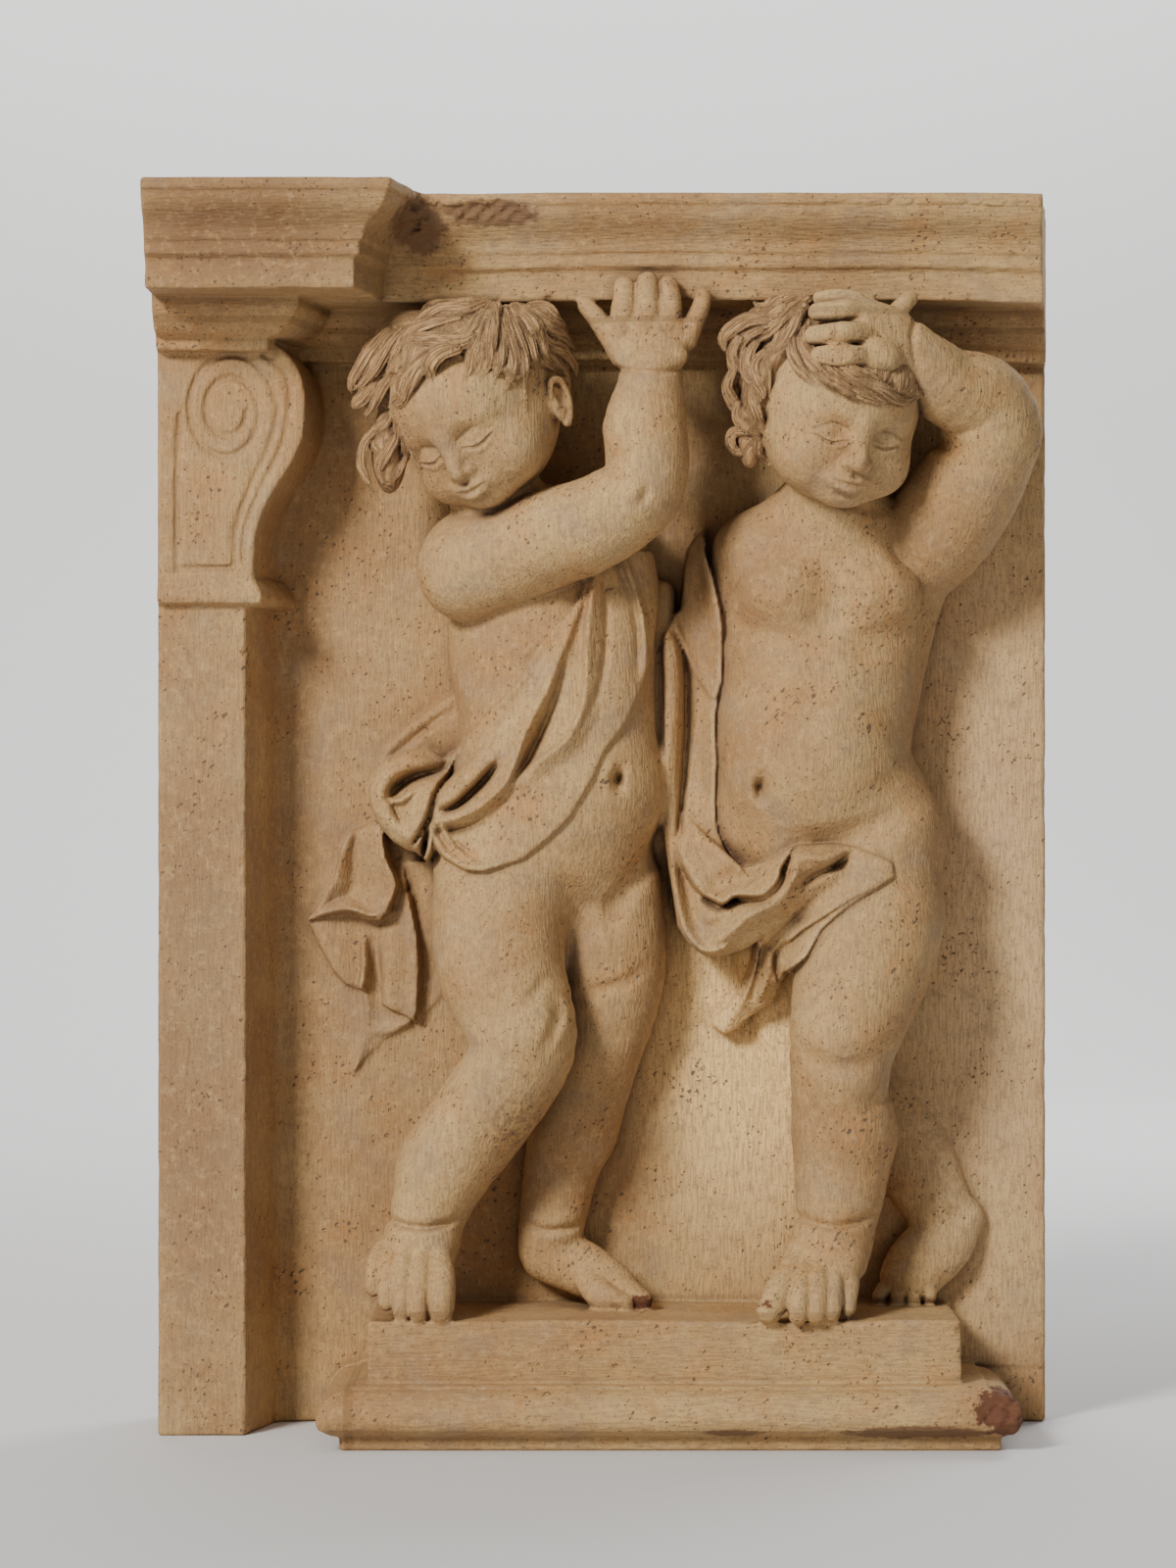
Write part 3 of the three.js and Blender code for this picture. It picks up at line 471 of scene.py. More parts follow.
class Head:
    def __init__(self, at, turn, crown):
        yaw, pitch, roll = (math.radians(angle) for angle in turn)
        spin = np.array([[math.cos(roll), -math.sin(roll), 0], [math.sin(roll), math.cos(roll), 0],
                         [0, 0, 1]])
        swing = np.array([[math.cos(yaw), 0, math.sin(yaw)], [0, 1, 0], [-math.sin(yaw), 0, math.cos(yaw)]])
        nod = np.array([[1, 0, 0], [0, math.cos(pitch), -math.sin(pitch)],
                        [0, math.sin(pitch), math.cos(pitch)]])
        self.turn = spin @ swing @ nod
        self.at = np.array(on_figure(at)[:3])
        self.crown = np.array(crown, float) / np.linalg.norm(crown)
        # rows turn an offset in across, forward, up into the head's own x, forward and up
        swap = np.array([[1, 0, 0], [0, 0, 1], [0, 1, 0]])
        self.inverse = swap @ self.turn.T @ swap

    def compass(self):
        """The crown's direction, and the ways ahead and aside square to it, in the head's axes."""
        ahead = np.array([0.0, 0.0, 1.0])
        ahead = ahead - self.crown * (ahead @ self.crown)
        ahead /= np.linalg.norm(ahead)
        return self.crown, ahead, np.cross(self.crown, ahead)

    def place(self, station):
        x, y, z = self.turn @ np.array(station[:3], float)
        return [self.at[0] + x, self.at[1] + z, self.at[2] + y, *station[3:]]

    def direction(self, vector):
        x, y, z = self.turn @ np.array(vector, float)
        return np.array([x, z, y])


SKULL = (54.0, 57.0, 60.0)


def touch(field, start, way, reach=130.0):
    """How far along a way from a start the clay begins, or None where there is none."""
    steps = np.arange(0, reach, 0.5)
    inside = field.sample(np.array(start, float) + steps[:, None] * way) < 0
    return steps[np.argmax(inside)] if inside.any() else None


def face(field, head):
    """A calm, generic child's face with lowered eyes."""
    outward = head.direction((0, 0, 1))

    def mass(centre, radii, soft, carve=False):
        ball(field, centre, radii, soft, carve, head.place, head.inverse)

    def line(stations, soft=2.0, carve=False):
        """A ridge or groove along the face. A station is x, y, height off the clay and radius."""
        placed = []
        for x, y, rise, radius in spline(stations, 3.0):
            start = head.place([x, y, 85.0])
            placed.append([x, y, 85.0 - (touch(field, start, -outward) or 40.0) + rise, radius])
        made = limb(field, placed, margin=soft + 3, place=head.place, toward=outward)
        if made and carve:
            field.cut(*made, soft)
        elif made:
            field.add(*made, soft)

    mass((0, 0, 0), SKULL, 0)
    mass((0, -24, 9), (44, 42, 42), 12)
    mass((0, 12, 18), (42, 36, 42), 12)
    mass((0, -55, 36), (17, 10, 12), 13)
    for side in (-1, 1):
        mass((side * 25, -36, 29), (20, 20, 20), 12)
        mass((side * 18, -2, 43), (16, 5, 8), 8)
        mass((side * 20, -14, 61), (12, 7, 9), 7, carve=True)
        mass((side * 19.5, -15, 42), (12.5, 9, 11), 3)
    line([[0, -6, -3.5, 5.2], [0, -18, -1.0, 5.0], [0, -27, 4.0, 5.6], [0, -32, 5.5, 6.2]], 6)
    for side in (-1, 1):
        mass((side * 6.6, -33.5, 54), (4.2, 3.8, 4.8), 3.0)
        line([[side * 9, -13, 0.2, 0.8], [side * 19, -9.6, 0.2, 0.9], [side * 31, -14.5, 0.2, 0.7]], 1.6,
             True)
        line([[side * 9.5, -18, 0.0, 0.9], [side * 19, -20.2, 0.0, 1.1], [side * 30, -17, 0.0, 0.9]], 1.5)
        line([[side * 9.5, -19.6, 0.3, 0.9], [side * 19, -22.2, 0.3, 1.2], [side * 30, -18.6, 0.3, 0.9]],
             0.9, True)
        line([[side * 11, -22.4, -0.6, 1.2], [side * 19, -24.8, -0.6, 1.4], [side * 28, -22, -0.6, 1.1]],
             2.5)
    mass((0, -44, 47), (17, 9, 9), 7)
    line([[0, -39.5, 0.4, 1.2], [0, -42.5, 0.4, 1.4]], 2.5, True)
    line([[-11.5, -45.2, -0.8, 1.6], [-4.5, -43.8, -0.2, 2.4], [0, -44.7, -0.2, 2.3],
          [4.5, -43.8, -0.2, 2.4], [11.5, -45.2, -0.8, 1.6]], 2.2)
    line([[-9, -49.2, -0.8, 2.0], [0, -50.6, 0.4, 3.2], [9, -49.2, -0.8, 2.0]], 2.2)
    line([[-12.5, -45.8, 0.2, 0.9], [-5, -46.7, 0.4, 0.9], [0, -47.3, 0.4, 1.0], [5, -46.7, 0.4, 0.9],
          [12.5, -45.8, 0.2, 0.9]], 0.9, True)
    line([[-6, -54.6, 0.4, 1.4], [0, -55.2, 0.4, 1.8], [6, -54.6, 0.4, 1.4]], 4.0, True)


def ear(field, head, side):
    """An ear on one side: a hollow shell with a rolled rim and a lobe."""
    ball(field, (side * 52, -23, -4), (5.0, 14, 8.5), 2.5, False, head.place, head.inverse)
    ball(field, (side * 58, -20, -4), (4.0, 7.5, 4.5), 2, True, head.place, head.inverse)
    rim = [[side * 54, -17, 3, 1.8], [side * 56, -10, 1, 2.2], [side * 57.5, -8, -4, 2.4],
           [side * 58, -11, -9, 2.5], [side * 57.5, -18, -11, 2.5], [side * 56.5, -26, -10, 2.5],
           [side * 55, -33, -6.5, 2.8], [side * 53.5, -37, -2.5, 3.2]]
    made = limb(field, rim, margin=5, place=head.place, toward=head.direction((side, 0, 0)))
    if made:
        field.add(*made, 1.5)


def combed(style, polar, azimuth):
    """How far the combed hair stands off the skull, in bands of pointed locks like shingles."""
    degrees = np.degrees(azimuth)
    line = np.radians(np.interp(degrees, *zip(*style["line"])))
    warp = 0.10 * np.sin(3 * azimuth + 4 * polar + style["phase"])
    warp = warp + 0.05 * np.sin(7 * azimuth - 5 * polar + 2 * style["phase"])
    swept = azimuth + style["sweep"] * polar + 0.22 * np.sin(3.1 * polar + style["phase"]) + warp
    lift = np.full(polar.shape, HAIR_BASE)
    for band, (start, length, count) in enumerate(style["bands"]):
        turn = count * swept / (2 * math.pi) + 0.37 * band
        across = np.abs(turn - np.round(turn)) * 2
        strand = np.abs(np.sin(math.pi * 3.5 * (turn + 0.12 * np.sin(9 * polar + 2 * band))))
        tip = np.radians(length) * (0.72 + 0.5 * (1 - across) + 0.16 * np.sin(5 * swept + 3 * band))
        along = (polar - math.radians(start)) / tip
        body = np.sqrt(np.clip(1 - along ** 5, 0, 1)) * (0.45 + 0.55 * np.clip(along, 0, 1))
        round_off = (1 - across ** 2.5) * 0.55 + 0.45
        rise = HAIR_BASE + HAIR_DEPTH * body * round_off + 1.2 * np.sqrt(strand) - 1.2
        lift = np.maximum(lift, np.where((along > -0.3) & (along < 1), rise, HAIR_BASE))
    jag = 0.04 * np.sin(19 * swept) + 0.02 * np.sin(31 * swept)
    inside = np.clip((line + jag - polar) / math.radians(6.0), 0, 1)
    return lift * np.sqrt(inside) - 7.0 * (1 - inside)


def hair_cap(field, head, style):
    spans, x, f, u = field.window(field.low, field.low + field.step * field.counts)
    offset = (x - head.at[0], f - head.at[1], u - head.at[2])
    side, ahead, up = (sum(head.inverse[r][c] * offset[c] for c in range(3)) for r in range(3))
    reach = np.sqrt(side * side + up * up + ahead * ahead + 1e-6)
    crown, front, aside = head.compass()
    polar = np.arccos(np.clip((side * crown[0] + up * crown[1] + ahead * crown[2]) / reach, -1, 1))
    azimuth = np.arctan2(side * aside[0] + up * aside[1] + ahead * aside[2],
                         side * front[0] + up * front[1] + ahead * front[2])
    skull = reach / np.sqrt((side / SKULL[0]) ** 2 + (up / SKULL[1]) ** 2 + (ahead / SKULL[2]) ** 2 + 1e-9)
    near = np.abs(reach - skull) < 24
    distance = np.where(reach < skull, -9.0, 24.0).astype(np.float32)
    lift = combed(style, polar[near], azimuth[near])
    distance[near] = (reach[near] - skull[near] - lift) * 0.8
    field.comb = np.zeros((2, *distance.shape), np.float32)
    field.comb[0] = 60 * (azimuth + style["sweep"] * polar)
    field.comb[1] = 60 * polar
    field.add(spans, distance, 1.0)


def lock(field, head, path, width):
    """A flat lock of hair with strand lines, laid on the clay from its root to its pointed tip."""
    rows = spline([[*on_figure([a, u, 0.0])[::2], width] for a, u in path], 2.5)
    front = float(field.axes[1][-1])
    depths = []
    for across, up, _ in rows:
        reach = touch(field, (across, front, up), -FORWARD)
        depths.append(front - reach if reach and front - reach > LEAST_LOCK_DEPTH else None)
    known = [d for d in depths if d is not None]
    if not known:
        return
    filled = [d if d is not None else min(known) for d in depths]
    even = np.convolve(np.pad(filled, 2, mode="edge"), np.ones(5) / 5, "valid")
    stations = []
    for i, (across, up, _) in enumerate(rows):
        share = i / (len(rows) - 1)
        size = width * (0.62 + 0.38 * math.sin(math.pi * share)) * (1 - 0.85 * share ** 5)
        depth = 0.55 * size
        rise = depth * (0.9 * math.sin(math.pi * min(share + 0.12, 1.0)) - 0.1)
        stations.append([across, even[i] + rise, up, size, depth])
    middle = np.array(stations[len(stations) // 2][:3]) - head.at
    outward = middle / np.linalg.norm(middle) + FORWARD
    made = limb(field, stations, margin=4, place=list, toward=outward, strands=8, strand_depth=0.24 * width)
    if made:
        spans, distance, comb = made
        closer = distance < field.values[spans]
        for whole, layer in zip(field.comb, comb):
            whole[spans] = np.where(closer, layer + 97 * width + path[0][0], whole[spans])
        field.add(spans, distance, 0.6)


def head_clay(field, head, style):
    face(field, head)
    for side in style["ears"]:
        ear(field, head, side)
    bare = twin(field, field.values.copy())
    hair_cap(field, head, style)
    for centre, radii in style["masses"]:
        ball(field, centre, radii, 5.0)
    for width, paths in style["locks"]:
        for path in paths:
            lock(field, head, path, width)
    return bare


LEFT_HEAD = Head((-123, 606, 72), (-34, 15, 18), (0.32, 0.94, 0.12))
RIGHT_HEAD = Head((114, 604, 78), (18, 13, -5), (-0.2, 0.97, 0.1))
HAIR_BASE = 5.5
HAIR_DEPTH = 3.0
LEAST_LOCK_DEPTH = 50.0

LEFT_HAIR = {
    "line": ((-180, 124), (-130, 122), (-100, 104), (-75, 88), (-62, 70), (-40, 58), (-26, 54), (-9, 45),
             (6, 38), (25, 41), (40, 48), (53, 60), (63, 72), (78, 70), (93, 70), (103, 76), (116, 98),
             (135, 122), (180, 124)),
    "bands": ((92, 34, 17), (66, 36, 15), (42, 36, 13), (18, 34, 9), (-8, 32, 5)),
    "sweep": -0.55,
    "phase": 0.7,
    "ears": (1,),
    "masses": (
        ((-184, 626, 66), (19, 26, 20)), ((-164, 648, 74), (26, 16, 22)), ((-182, 574, 62), (12, 30, 18)),
        ((-74, 640, 66), (12, 22, 20)), ((-90, 652, 84), (22, 14, 20)),
    ),
    "locks": (
        (7.0, (
            ((-118, 668), (-134, 668), (-149, 668), (-158, 662), (-162, 657)),
            ((-114, 667), (-128, 660), (-147, 660), (-161, 653), (-171, 644)),
            ((-171, 648), (-182, 637), (-191, 624), (-201, 614), (-207, 611)),
            ((-180, 649), (-192, 637), (-201, 625), (-207, 616), (-206, 608)),
            ((-89, 664), (-78, 662), (-73, 657), (-66, 652), (-63, 646)),
            ((-94, 666), (-81, 655), (-72, 649), (-64, 644), (-57, 636)),
            ((-85, 653), (-77, 642), (-68, 637), (-60, 629), (-58, 619)),
            ((-98, 666), (-85, 650), (-80, 632), (-75, 624), (-68, 623)),
        )),
        (6.2, (
            ((-133, 653), (-152, 650), (-166, 645), (-176, 632), (-184, 620)),
            ((-113, 665), (-121, 651), (-128, 642), (-137, 640), (-146, 645)),
            ((-124, 640), (-136, 636), (-152, 639), (-166, 641), (-174, 635)),
            ((-127, 635), (-141, 632), (-156, 627), (-171, 617), (-191, 612)),
            ((-158, 623), (-168, 612), (-172, 604), (-179, 601), (-182, 602)),
            ((-146, 629), (-159, 619), (-167, 608), (-172, 599), (-184, 599)),
            ((-133, 631), (-145, 628), (-152, 621), (-152, 613), (-156, 607)),
            ((-179, 618), (-188, 608), (-194, 600), (-198, 592)),
            ((-189, 615), (-198, 607), (-204, 602), (-202, 597)),
        )),
        (5.2, (
            ((-100, 664), (-90, 645), (-86, 627), (-83, 613), (-84, 601)),
            ((-104, 664), (-96, 642), (-92, 625), (-92, 605), (-89, 588)),
            ((-105, 662), (-101, 641), (-98, 624), (-102, 610), (-109, 600)),
            ((-109, 663), (-106, 641), (-107, 625), (-110, 614), (-113, 606)),
            ((-111, 665), (-113, 644), (-119, 629), (-122, 617), (-118, 608)),
            ((-109, 665), (-113, 637), (-114, 625), (-117, 617), (-122, 611)),
            ((-114, 658), (-120, 640), (-125, 630), (-127, 618), (-134, 605)),
        )),
        (4.6, (
            ((-178, 596), (-184, 588), (-191, 584), (-193, 576), (-188, 570), (-182, 572)),
            ((-176, 592), (-176, 580), (-182, 570), (-188, 560), (-186, 550), (-181, 543)),
            ((-172, 588), (-170, 574), (-174, 562), (-179, 552), (-178, 544)),
            ((-170, 580), (-164, 570), (-160, 560), (-158, 552)),
            ((-190, 586), (-198, 576), (-200, 562), (-194, 548), (-190, 542)),
        )),
    ),
}
RIGHT_HAIR = {
    "line": ((-180, 124), (-125, 122), (-95, 112), (-80, 104), (-73, 62), (-64, 42), (-56, 43), (-45, 49),
             (-29, 57), (-15, 62), (-3, 67), (11, 73), (22, 77), (32, 82), (55, 88), (80, 98), (100, 110),
             (130, 120), (180, 124)),
    "bands": ((90, 34, 17), (64, 36, 15), (40, 36, 13), (16, 34, 9), (-10, 32, 5)),
    "sweep": 0.5,
    "phase": 2.2,
    "ears": (),
    "masses": (
        ((56, 632, 76), (14, 22, 20)), ((72, 654, 84), (20, 14, 20)), ((57, 588, 70), (10, 28, 16)),
    ),
    "locks": (
        (7.0, (
            ((103, 673), (88, 673), (75, 668), (66, 663), (57, 668)),
            ((99, 672), (84, 666), (72, 656), (62, 650), (52, 652)),
            ((67, 654), (55, 655), (45, 650), (39, 643), (42, 632)),
            ((94, 668), (82, 659), (71, 648), (61, 643), (53, 635)),
            ((99, 635), (104, 621), (119, 608), (133, 599), (149, 594)),
            ((109, 621), (121, 613), (134, 607), (143, 601), (157, 603)),
        )),
        (6.0, (
            ((64, 648), (55, 645), (49, 639), (49, 630), (44, 623)),
            ((61, 641), (55, 632), (54, 622), (57, 613), (54, 605)),
            ((49, 643), (45, 634), (46, 623), (44, 613), (48, 605)),
            ((92, 663), (81, 650), (74, 637), (69, 630), (62, 631)),
            ((66, 633), (59, 624), (60, 613), (64, 604), (60, 598)),
            ((46, 623), (42, 613), (46, 602), (53, 594), (59, 589)),
            ((96, 644), (96, 630), (104, 616), (116, 604), (130, 592)),
            ((93, 652), (91, 637), (94, 623), (102, 611), (114, 603)),
            ((89, 658), (84, 641), (85, 626), (91, 614), (101, 604)),
        )),
        (4.8, (
            ((89, 660), (83, 646), (76, 636), (71, 632), (68, 635)),
            ((128, 609), (140, 604), (151, 598), (161, 600), (166, 606)),
            ((58, 611), (58, 601), (61, 591), (66, 581), (70, 572)),
            ((49, 602), (48, 593), (52, 587), (59, 582), (64, 576)),
            ((59, 587), (62, 578), (62, 570), (68, 567), (70, 559)),
            ((55, 582), (46, 583), (44, 576), (49, 570), (57, 571)),
        )),
        (2.6, (
            ((67, 626), (68, 616), (68, 606), (71, 598)),
        )),
    ),
}

# Figures. A station is [across from the plinth's middle, up from the plinth, forward from the
# panel, half-width, half-depth]; a round one leaves the last out.

LEFT_BODY = {
    "limbs": (
        ([[-96, 522, 34, 36, 34], [-84, 498, 26, 58, 44], [-76, 448, 20, 68, 54], [-72, 400, 22, 66, 56],
          [-70, 355, 24, 68, 60], [-76, 314, 24, 68, 56], [-80, 290, 22, 62, 46]], 10),
        ([[-104, 515, 40, 32], [-116, 560, 60, 31]], 8),
        ([[-34, 520, 28, 22, 22], [-36, 470, 24, 30, 34], [-42, 400, 30, 36, 44]], 14),
        ([[-100, 300, 34, 48, 44], [-109, 262, 50, 46, 44], [-107, 226, 64, 42, 41], [-93, 186, 76, 36, 34],
          [-100, 160, 76, 33, 32], [-120, 132, 68, 33, 33], [-142, 100, 60, 31, 31], [-155, 70, 58, 26, 26],
          [-160, 50, 60, 24, 24]], 9),
        ([[-42, 295, 22, 40, 34], [-38, 250, 22, 40, 35], [-37, 215, 22, 37, 33], [-46, 170, 18, 31, 29],
          [-58, 128, 14, 30, 27], [-69, 88, 15, 25, 24], [-75, 52, 18, 22, 22]], 9),
    ),
    "masses": (
        ((-50, 350, 38), (50, 50, 44), 16),
        ((-118, 300, 26), (34, 34, 40), 14),
        ((-92, 188, 84), (24, 20, 26), 12),
        ((-100, 160, 78), (22, 18, 24), 10),
        ((-150, 96, 52), (26, 30, 28), 10),
        ((-160, 52, 62), (24, 12, 24), 5),
        ((-46, 172, 26), (25, 20, 24), 10),
        ((-60, 120, 22), (27, 28, 24), 10),
        ((-80, 40, 16), (17, 14, 18), 6),
    ),
    "feet": (
        ([[-160, 46, 60, 24, 22], [-163, 38, 70, 26, 18], [-166, 34, 78, 25, 12]], (0, 0, 1), 6),
        ([[-77, 34, 16, 19], [-56, 26, 24, 19, 16], [-36, 16, 34, 16, 13], [-24, 9, 42, 12, 8]], None, 5),
    ),
    "digits": (
        ([[-149, 40, 80, 8.8], [-147, 28, 92, 9.8], [-146, 15, 101, 9.4], [-146, 7, 103, 8.2]], 1.6),
        ([[-160, 40, 84, 6.8], [-160, 29, 95, 7.4], [-161, 17, 102, 7.0], [-161, 6, 104, 6.4]], 1.2),
        ([[-170, 41, 82, 6.6], [-171, 31, 92, 7.0], [-172, 19, 99, 6.8], [-172, 6, 101, 6.2]], 1.2),
        ([[-179, 42, 76, 6.2], [-181, 34, 86, 6.6], [-182, 23, 94, 6.4], [-182, 11, 96, 5.8]], 1.2),
        ([[-186, 44, 70, 5.6], [-189, 38, 79, 6.0], [-191, 29, 87, 5.8], [-191, 19, 89, 5.2]], 1.2),
        ([[-36, 20, 38, 8.0], [-24, 13, 45, 8.2], [-14, 7, 49, 7.0]], 1.6),
        ([[-46, 18, 42, 7.0], [-35, 9, 52, 7.4], [-26, 5, 55, 6.4]], 1.4),
        ([[-54, 18, 38, 6.0], [-44, 7, 51, 6.2], [-36, 4, 54, 5.4]], 1.4),
    ),
}
LEFT_ARM = {
    "limbs": (
        ([[-129, 493, 54, 34], [-104, 503, 64, 34], [-72, 514, 78, 32.5], [-42, 524, 86, 30.5],
          [-17, 542, 88, 28], [-11, 565, 88, 27], [-13, 584, 86, 27], [-10, 604, 84, 23.5],
          [-8, 620, 83, 19]], 6),
        ([[-8, 620, 82, 19, 15], [-8, 636, 82, 24, 12], [-7, 652, 84, 26, 10.5]], 5),
    ),
    "masses": (
        ((-20, 536, 96), (21, 20, 20), 10),
        ((-124, 500, 50), (36, 36, 36), 8),
        ((-9, 632, 90), (24, 11, 7), 6),
    ),
    "digits": (
        ([[-27, 648, 84, 7.6], [-27, 660, 86, 8.2], [-26, 670, 87, 7.4], [-26, 678, 83, 7.2]], 1.6),
        ([[-11, 650, 85, 7.6], [-11, 662, 88, 8.4], [-11, 672, 88, 7.4], [-11, 681, 83, 7.2]], 1.6),
        ([[4, 650, 85, 7.2], [4, 661, 87, 7.8], [4, 671, 87, 7.0], [3, 679, 82, 6.6]], 1.6),
        ([[15, 644, 82, 7.2], [20, 655, 84, 7.0], [24, 664, 83, 6.4], [26, 672, 80, 5.8]], 1.6),
        ([[-26, 634, 80, 9.5], [-36, 648, 80, 7.8], [-44, 658, 79, 6.6], [-51, 666, 77, 5.6]], 3.0),
    ),
}
RIGHT_BODY = {
    "limbs": (
        ([[116, 542, 44, 28, 28], [114, 520, 36, 52, 38], [112, 496, 28, 66, 46], [112, 464, 24, 67, 53],
          [106, 410, 26, 64, 57], [102, 362, 28, 65, 62], [112, 325, 26, 70, 57], [117, 298, 22, 70, 48]],
          10),
        ([[116, 515, 46, 31], [113, 555, 64, 29]], 8),
        ([[64, 504, 28, 31], [56, 470, 18, 26], [48, 430, 10, 20, 16]], 12),
        ([[48, 486, 16, 12, 15], [48, 455, 18, 14, 17], [45, 420, 18, 14, 18], [41, 380, 18, 14, 18],
          [42, 345, 23, 14, 20], [52, 315, 29, 16, 22]], 12),
        ([[0, 480, 6, 9, 14], [-2, 440, 18, 10, 17], [-3, 380, 20, 10, 18], [-3, 335, 14, 10, 18],
          [-2, 300, 2, 9, 14], [0, 270, -8, 9, 12]], 8),
        ([[196, 532, 38, 29, 25], [172, 500, 26, 26, 26], [156, 450, 12, 24, 24], [148, 400, 6, 22, 20]],
         12),
        ([[136, 300, 34, 48, 44], [139, 262, 50, 48, 45], [131, 226, 62, 44, 42], [119, 182, 70, 35, 34],
          [117, 154, 66, 32, 33], [119, 122, 60, 33, 32], [118, 86, 57, 30, 29], [113, 52, 60, 24.5, 25]],
          9),
        ([[86, 250, 4, 34, 20], [84, 215, 2, 30, 14], [98, 160, 0, 22, 11], [112, 130, 0, 16, 8]], 8),
        ([[128, 155, -2, 22, 13], [150, 125, -1, 27, 15], [172, 95, 1, 27, 16], [186, 68, 4, 23, 16]], 6),
    ),
    "masses": (
        ((140, 480, 60), (32, 24, 23), 14),
        ((84, 478, 60), (30, 24, 23), 14),
        ((98, 368, 62), (46, 44, 34), 18),
        ((150, 320, 40), (38, 34, 42), 14),
        ((119, 186, 80), (25, 20, 24), 10),
        ((117, 158, 76), (22, 15, 22), 8),
        ((122, 120, 58), (33, 30, 32), 8),
        ((113, 56, 62), (25, 12, 25), 5),
    ),
    "feet": (
        ([[113, 46, 58, 25, 24], [107, 36, 72, 29, 20], [102, 30, 82, 28, 13]], (0, 0, 1), 6),
        ([[205, 60, 4, 14, 12], [190, 42, 8, 22, 15], [172, 24, 12, 22, 15], [166, 14, 16, 20, 12]], None,
         5),
    ),
    "digits": (
        ([[85, 31, 84, 9.0], [78, 22, 96, 10.0], [72, 13, 105, 9.6], [68, 7, 108, 8.4]], 1.6),
        ([[93, 32, 86, 7.0], [90, 24, 99, 7.6], [88, 14, 108, 7.4], [87, 5, 111, 6.6]], 1.2),
        ([[103, 32, 86, 7.0], [101, 25, 99, 7.4], [100, 15, 107, 7.2], [99, 5, 110, 6.6]], 1.2),
        ([[113, 32, 84, 6.6], [111, 26, 96, 7.0], [110, 16, 104, 6.8], [109, 6, 107, 6.2]], 1.2),
        ([[122, 32, 78, 6.2], [122, 26, 90, 6.6], [121, 18, 97, 6.2], [120, 8, 100, 5.8]], 1.2),
        ([[150, 10, 18, 6.0], [146, 6, 24, 5.0]], 1.5),
        ([[160, 8, 22, 6.0], [158, 5, 27, 5.0]], 1.5),
        ([[170, 8, 22, 6.0], [169, 5, 28, 5.0]], 1.5),
        ([[180, 9, 20, 5.6], [180, 6, 26, 4.6]], 1.5),
    ),
}
RIGHT_ARM = {
    "limbs": (
        ([[162, 496, 24, 30], [182, 518, 38, 36], [199, 543, 48, 36], [211, 565, 56, 34.5],
          [216, 585, 64, 33], [213, 601, 70, 31], [203, 607, 78, 29], [188, 611, 88, 26],
          [172, 623, 101, 21.5], [159, 632, 108, 19]], 6),
        ([[160, 633, 108, 19, 14], [146, 636, 117, 24, 13.5], [129, 640, 124, 24.5, 12]], 5),
    ),
    "masses": (
        ((228, 585, 66), (20, 22, 20), 10),
        ((124, 650, 124), (12, 14, 12), 5),
        ((134, 626, 130), (19, 13, 13), 6),
    ),
    "digits": (
        ([[127, 656, 127, 7.0], [117, 656, 133, 7.4], [107, 655, 135, 6.8], [98, 655, 132, 6.0]], 1.4),
        ([[127, 641, 133, 7.6], [116, 640, 140, 8.2], [105, 639, 142, 7.2], [96, 639, 139, 6.4]], 1.4),
        ([[127, 626, 137, 7.2], [117, 625, 144, 7.6], [107, 625, 147, 7.0], [99, 625, 145, 6.2]], 1.4),
        ([[132, 664, 114, 6.4], [121, 665, 118, 6.4], [110, 666, 118, 5.8], [101, 666, 115, 5.0]], 1.4),
        ([[150, 656, 111, 7.0], [156, 663, 110, 6.0], [160, 667, 107, 5.2]], 3.0),
    ),
}


def build_parts(field, parts):
    for stations, soft in parts["limbs"]:
        lay(field, stations, soft)
    for centre, radii, soft in parts["masses"]:
        ball(field, centre, radii, soft)
    for stations, toward, soft in parts.get("feet", ()):
        lay(field, stations, soft, toward=np.array(toward, float) if toward else FORWARD)
    for stations, soft in parts["digits"]:
        lay(field, stations, soft)


# Cloth

FULL = 1.6
BLUNT = 1.3


def folds_height(x, u, folds):
    """How far folds stand off the clay, seen from the front.

    A fold is (kind, left fall, right fall, crest points): each point is across, up and height, and
    left and right are as seen along the crest. A crest and a cut are keen, a roll is round, and a
    swell and a dip are soft; cuts and dips go in.
    """
    shape = np.broadcast(x, u).shape
    raised, sunk = np.zeros(shape), np.zeros(shape)
    for kind, left, right, points in folds:
        rows = spline([[PLINTH_MIDDLE + a, PLINTH_HEIGHT + b, h] for a, b, h in points], 3.0)
        nearest = np.full(shape, FAR)
        height, side = np.zeros(shape), np.zeros(shape)
        for p, q in zip(rows[:-1], rows[1:]):
            edge = q[:2] - p[:2]
            size = max(edge @ edge, 1e-9)
            vx, vu = x - p[0], u - p[1]
            share = np.clip((vx * edge[0] + vu * edge[1]) / size, 0, 1)
            gap = np.hypot(vx - share * edge[0], vu - share * edge[1])
            closer = gap < nearest
            nearest = np.where(closer, gap, nearest)
            height = np.where(closer, p[2] + share * (q[2] - p[2]), height)
            side = np.where(closer, edge[0] * vu - edge[1] * vx, side)
        nearest = np.hypot(nearest, BLUNT) - BLUNT
        share = np.clip(nearest / np.where(side > 0, left, right), 0, 1)
        if kind == "roll":
            part = np.maximum(height, 0) * np.sqrt(1 - share * share)
        elif kind in ("swell", "dip"):
            part = np.maximum(height, 0) * (1 - share * share) ** 2
        else:
            part = np.maximum(height, 0) * (1 - share) ** FULL
        if kind in ("cut", "dip"):
            sunk = np.maximum(sunk, part)
        else:
            raised = smooth_max(raised, part, 1.5)
    return raised - sunk


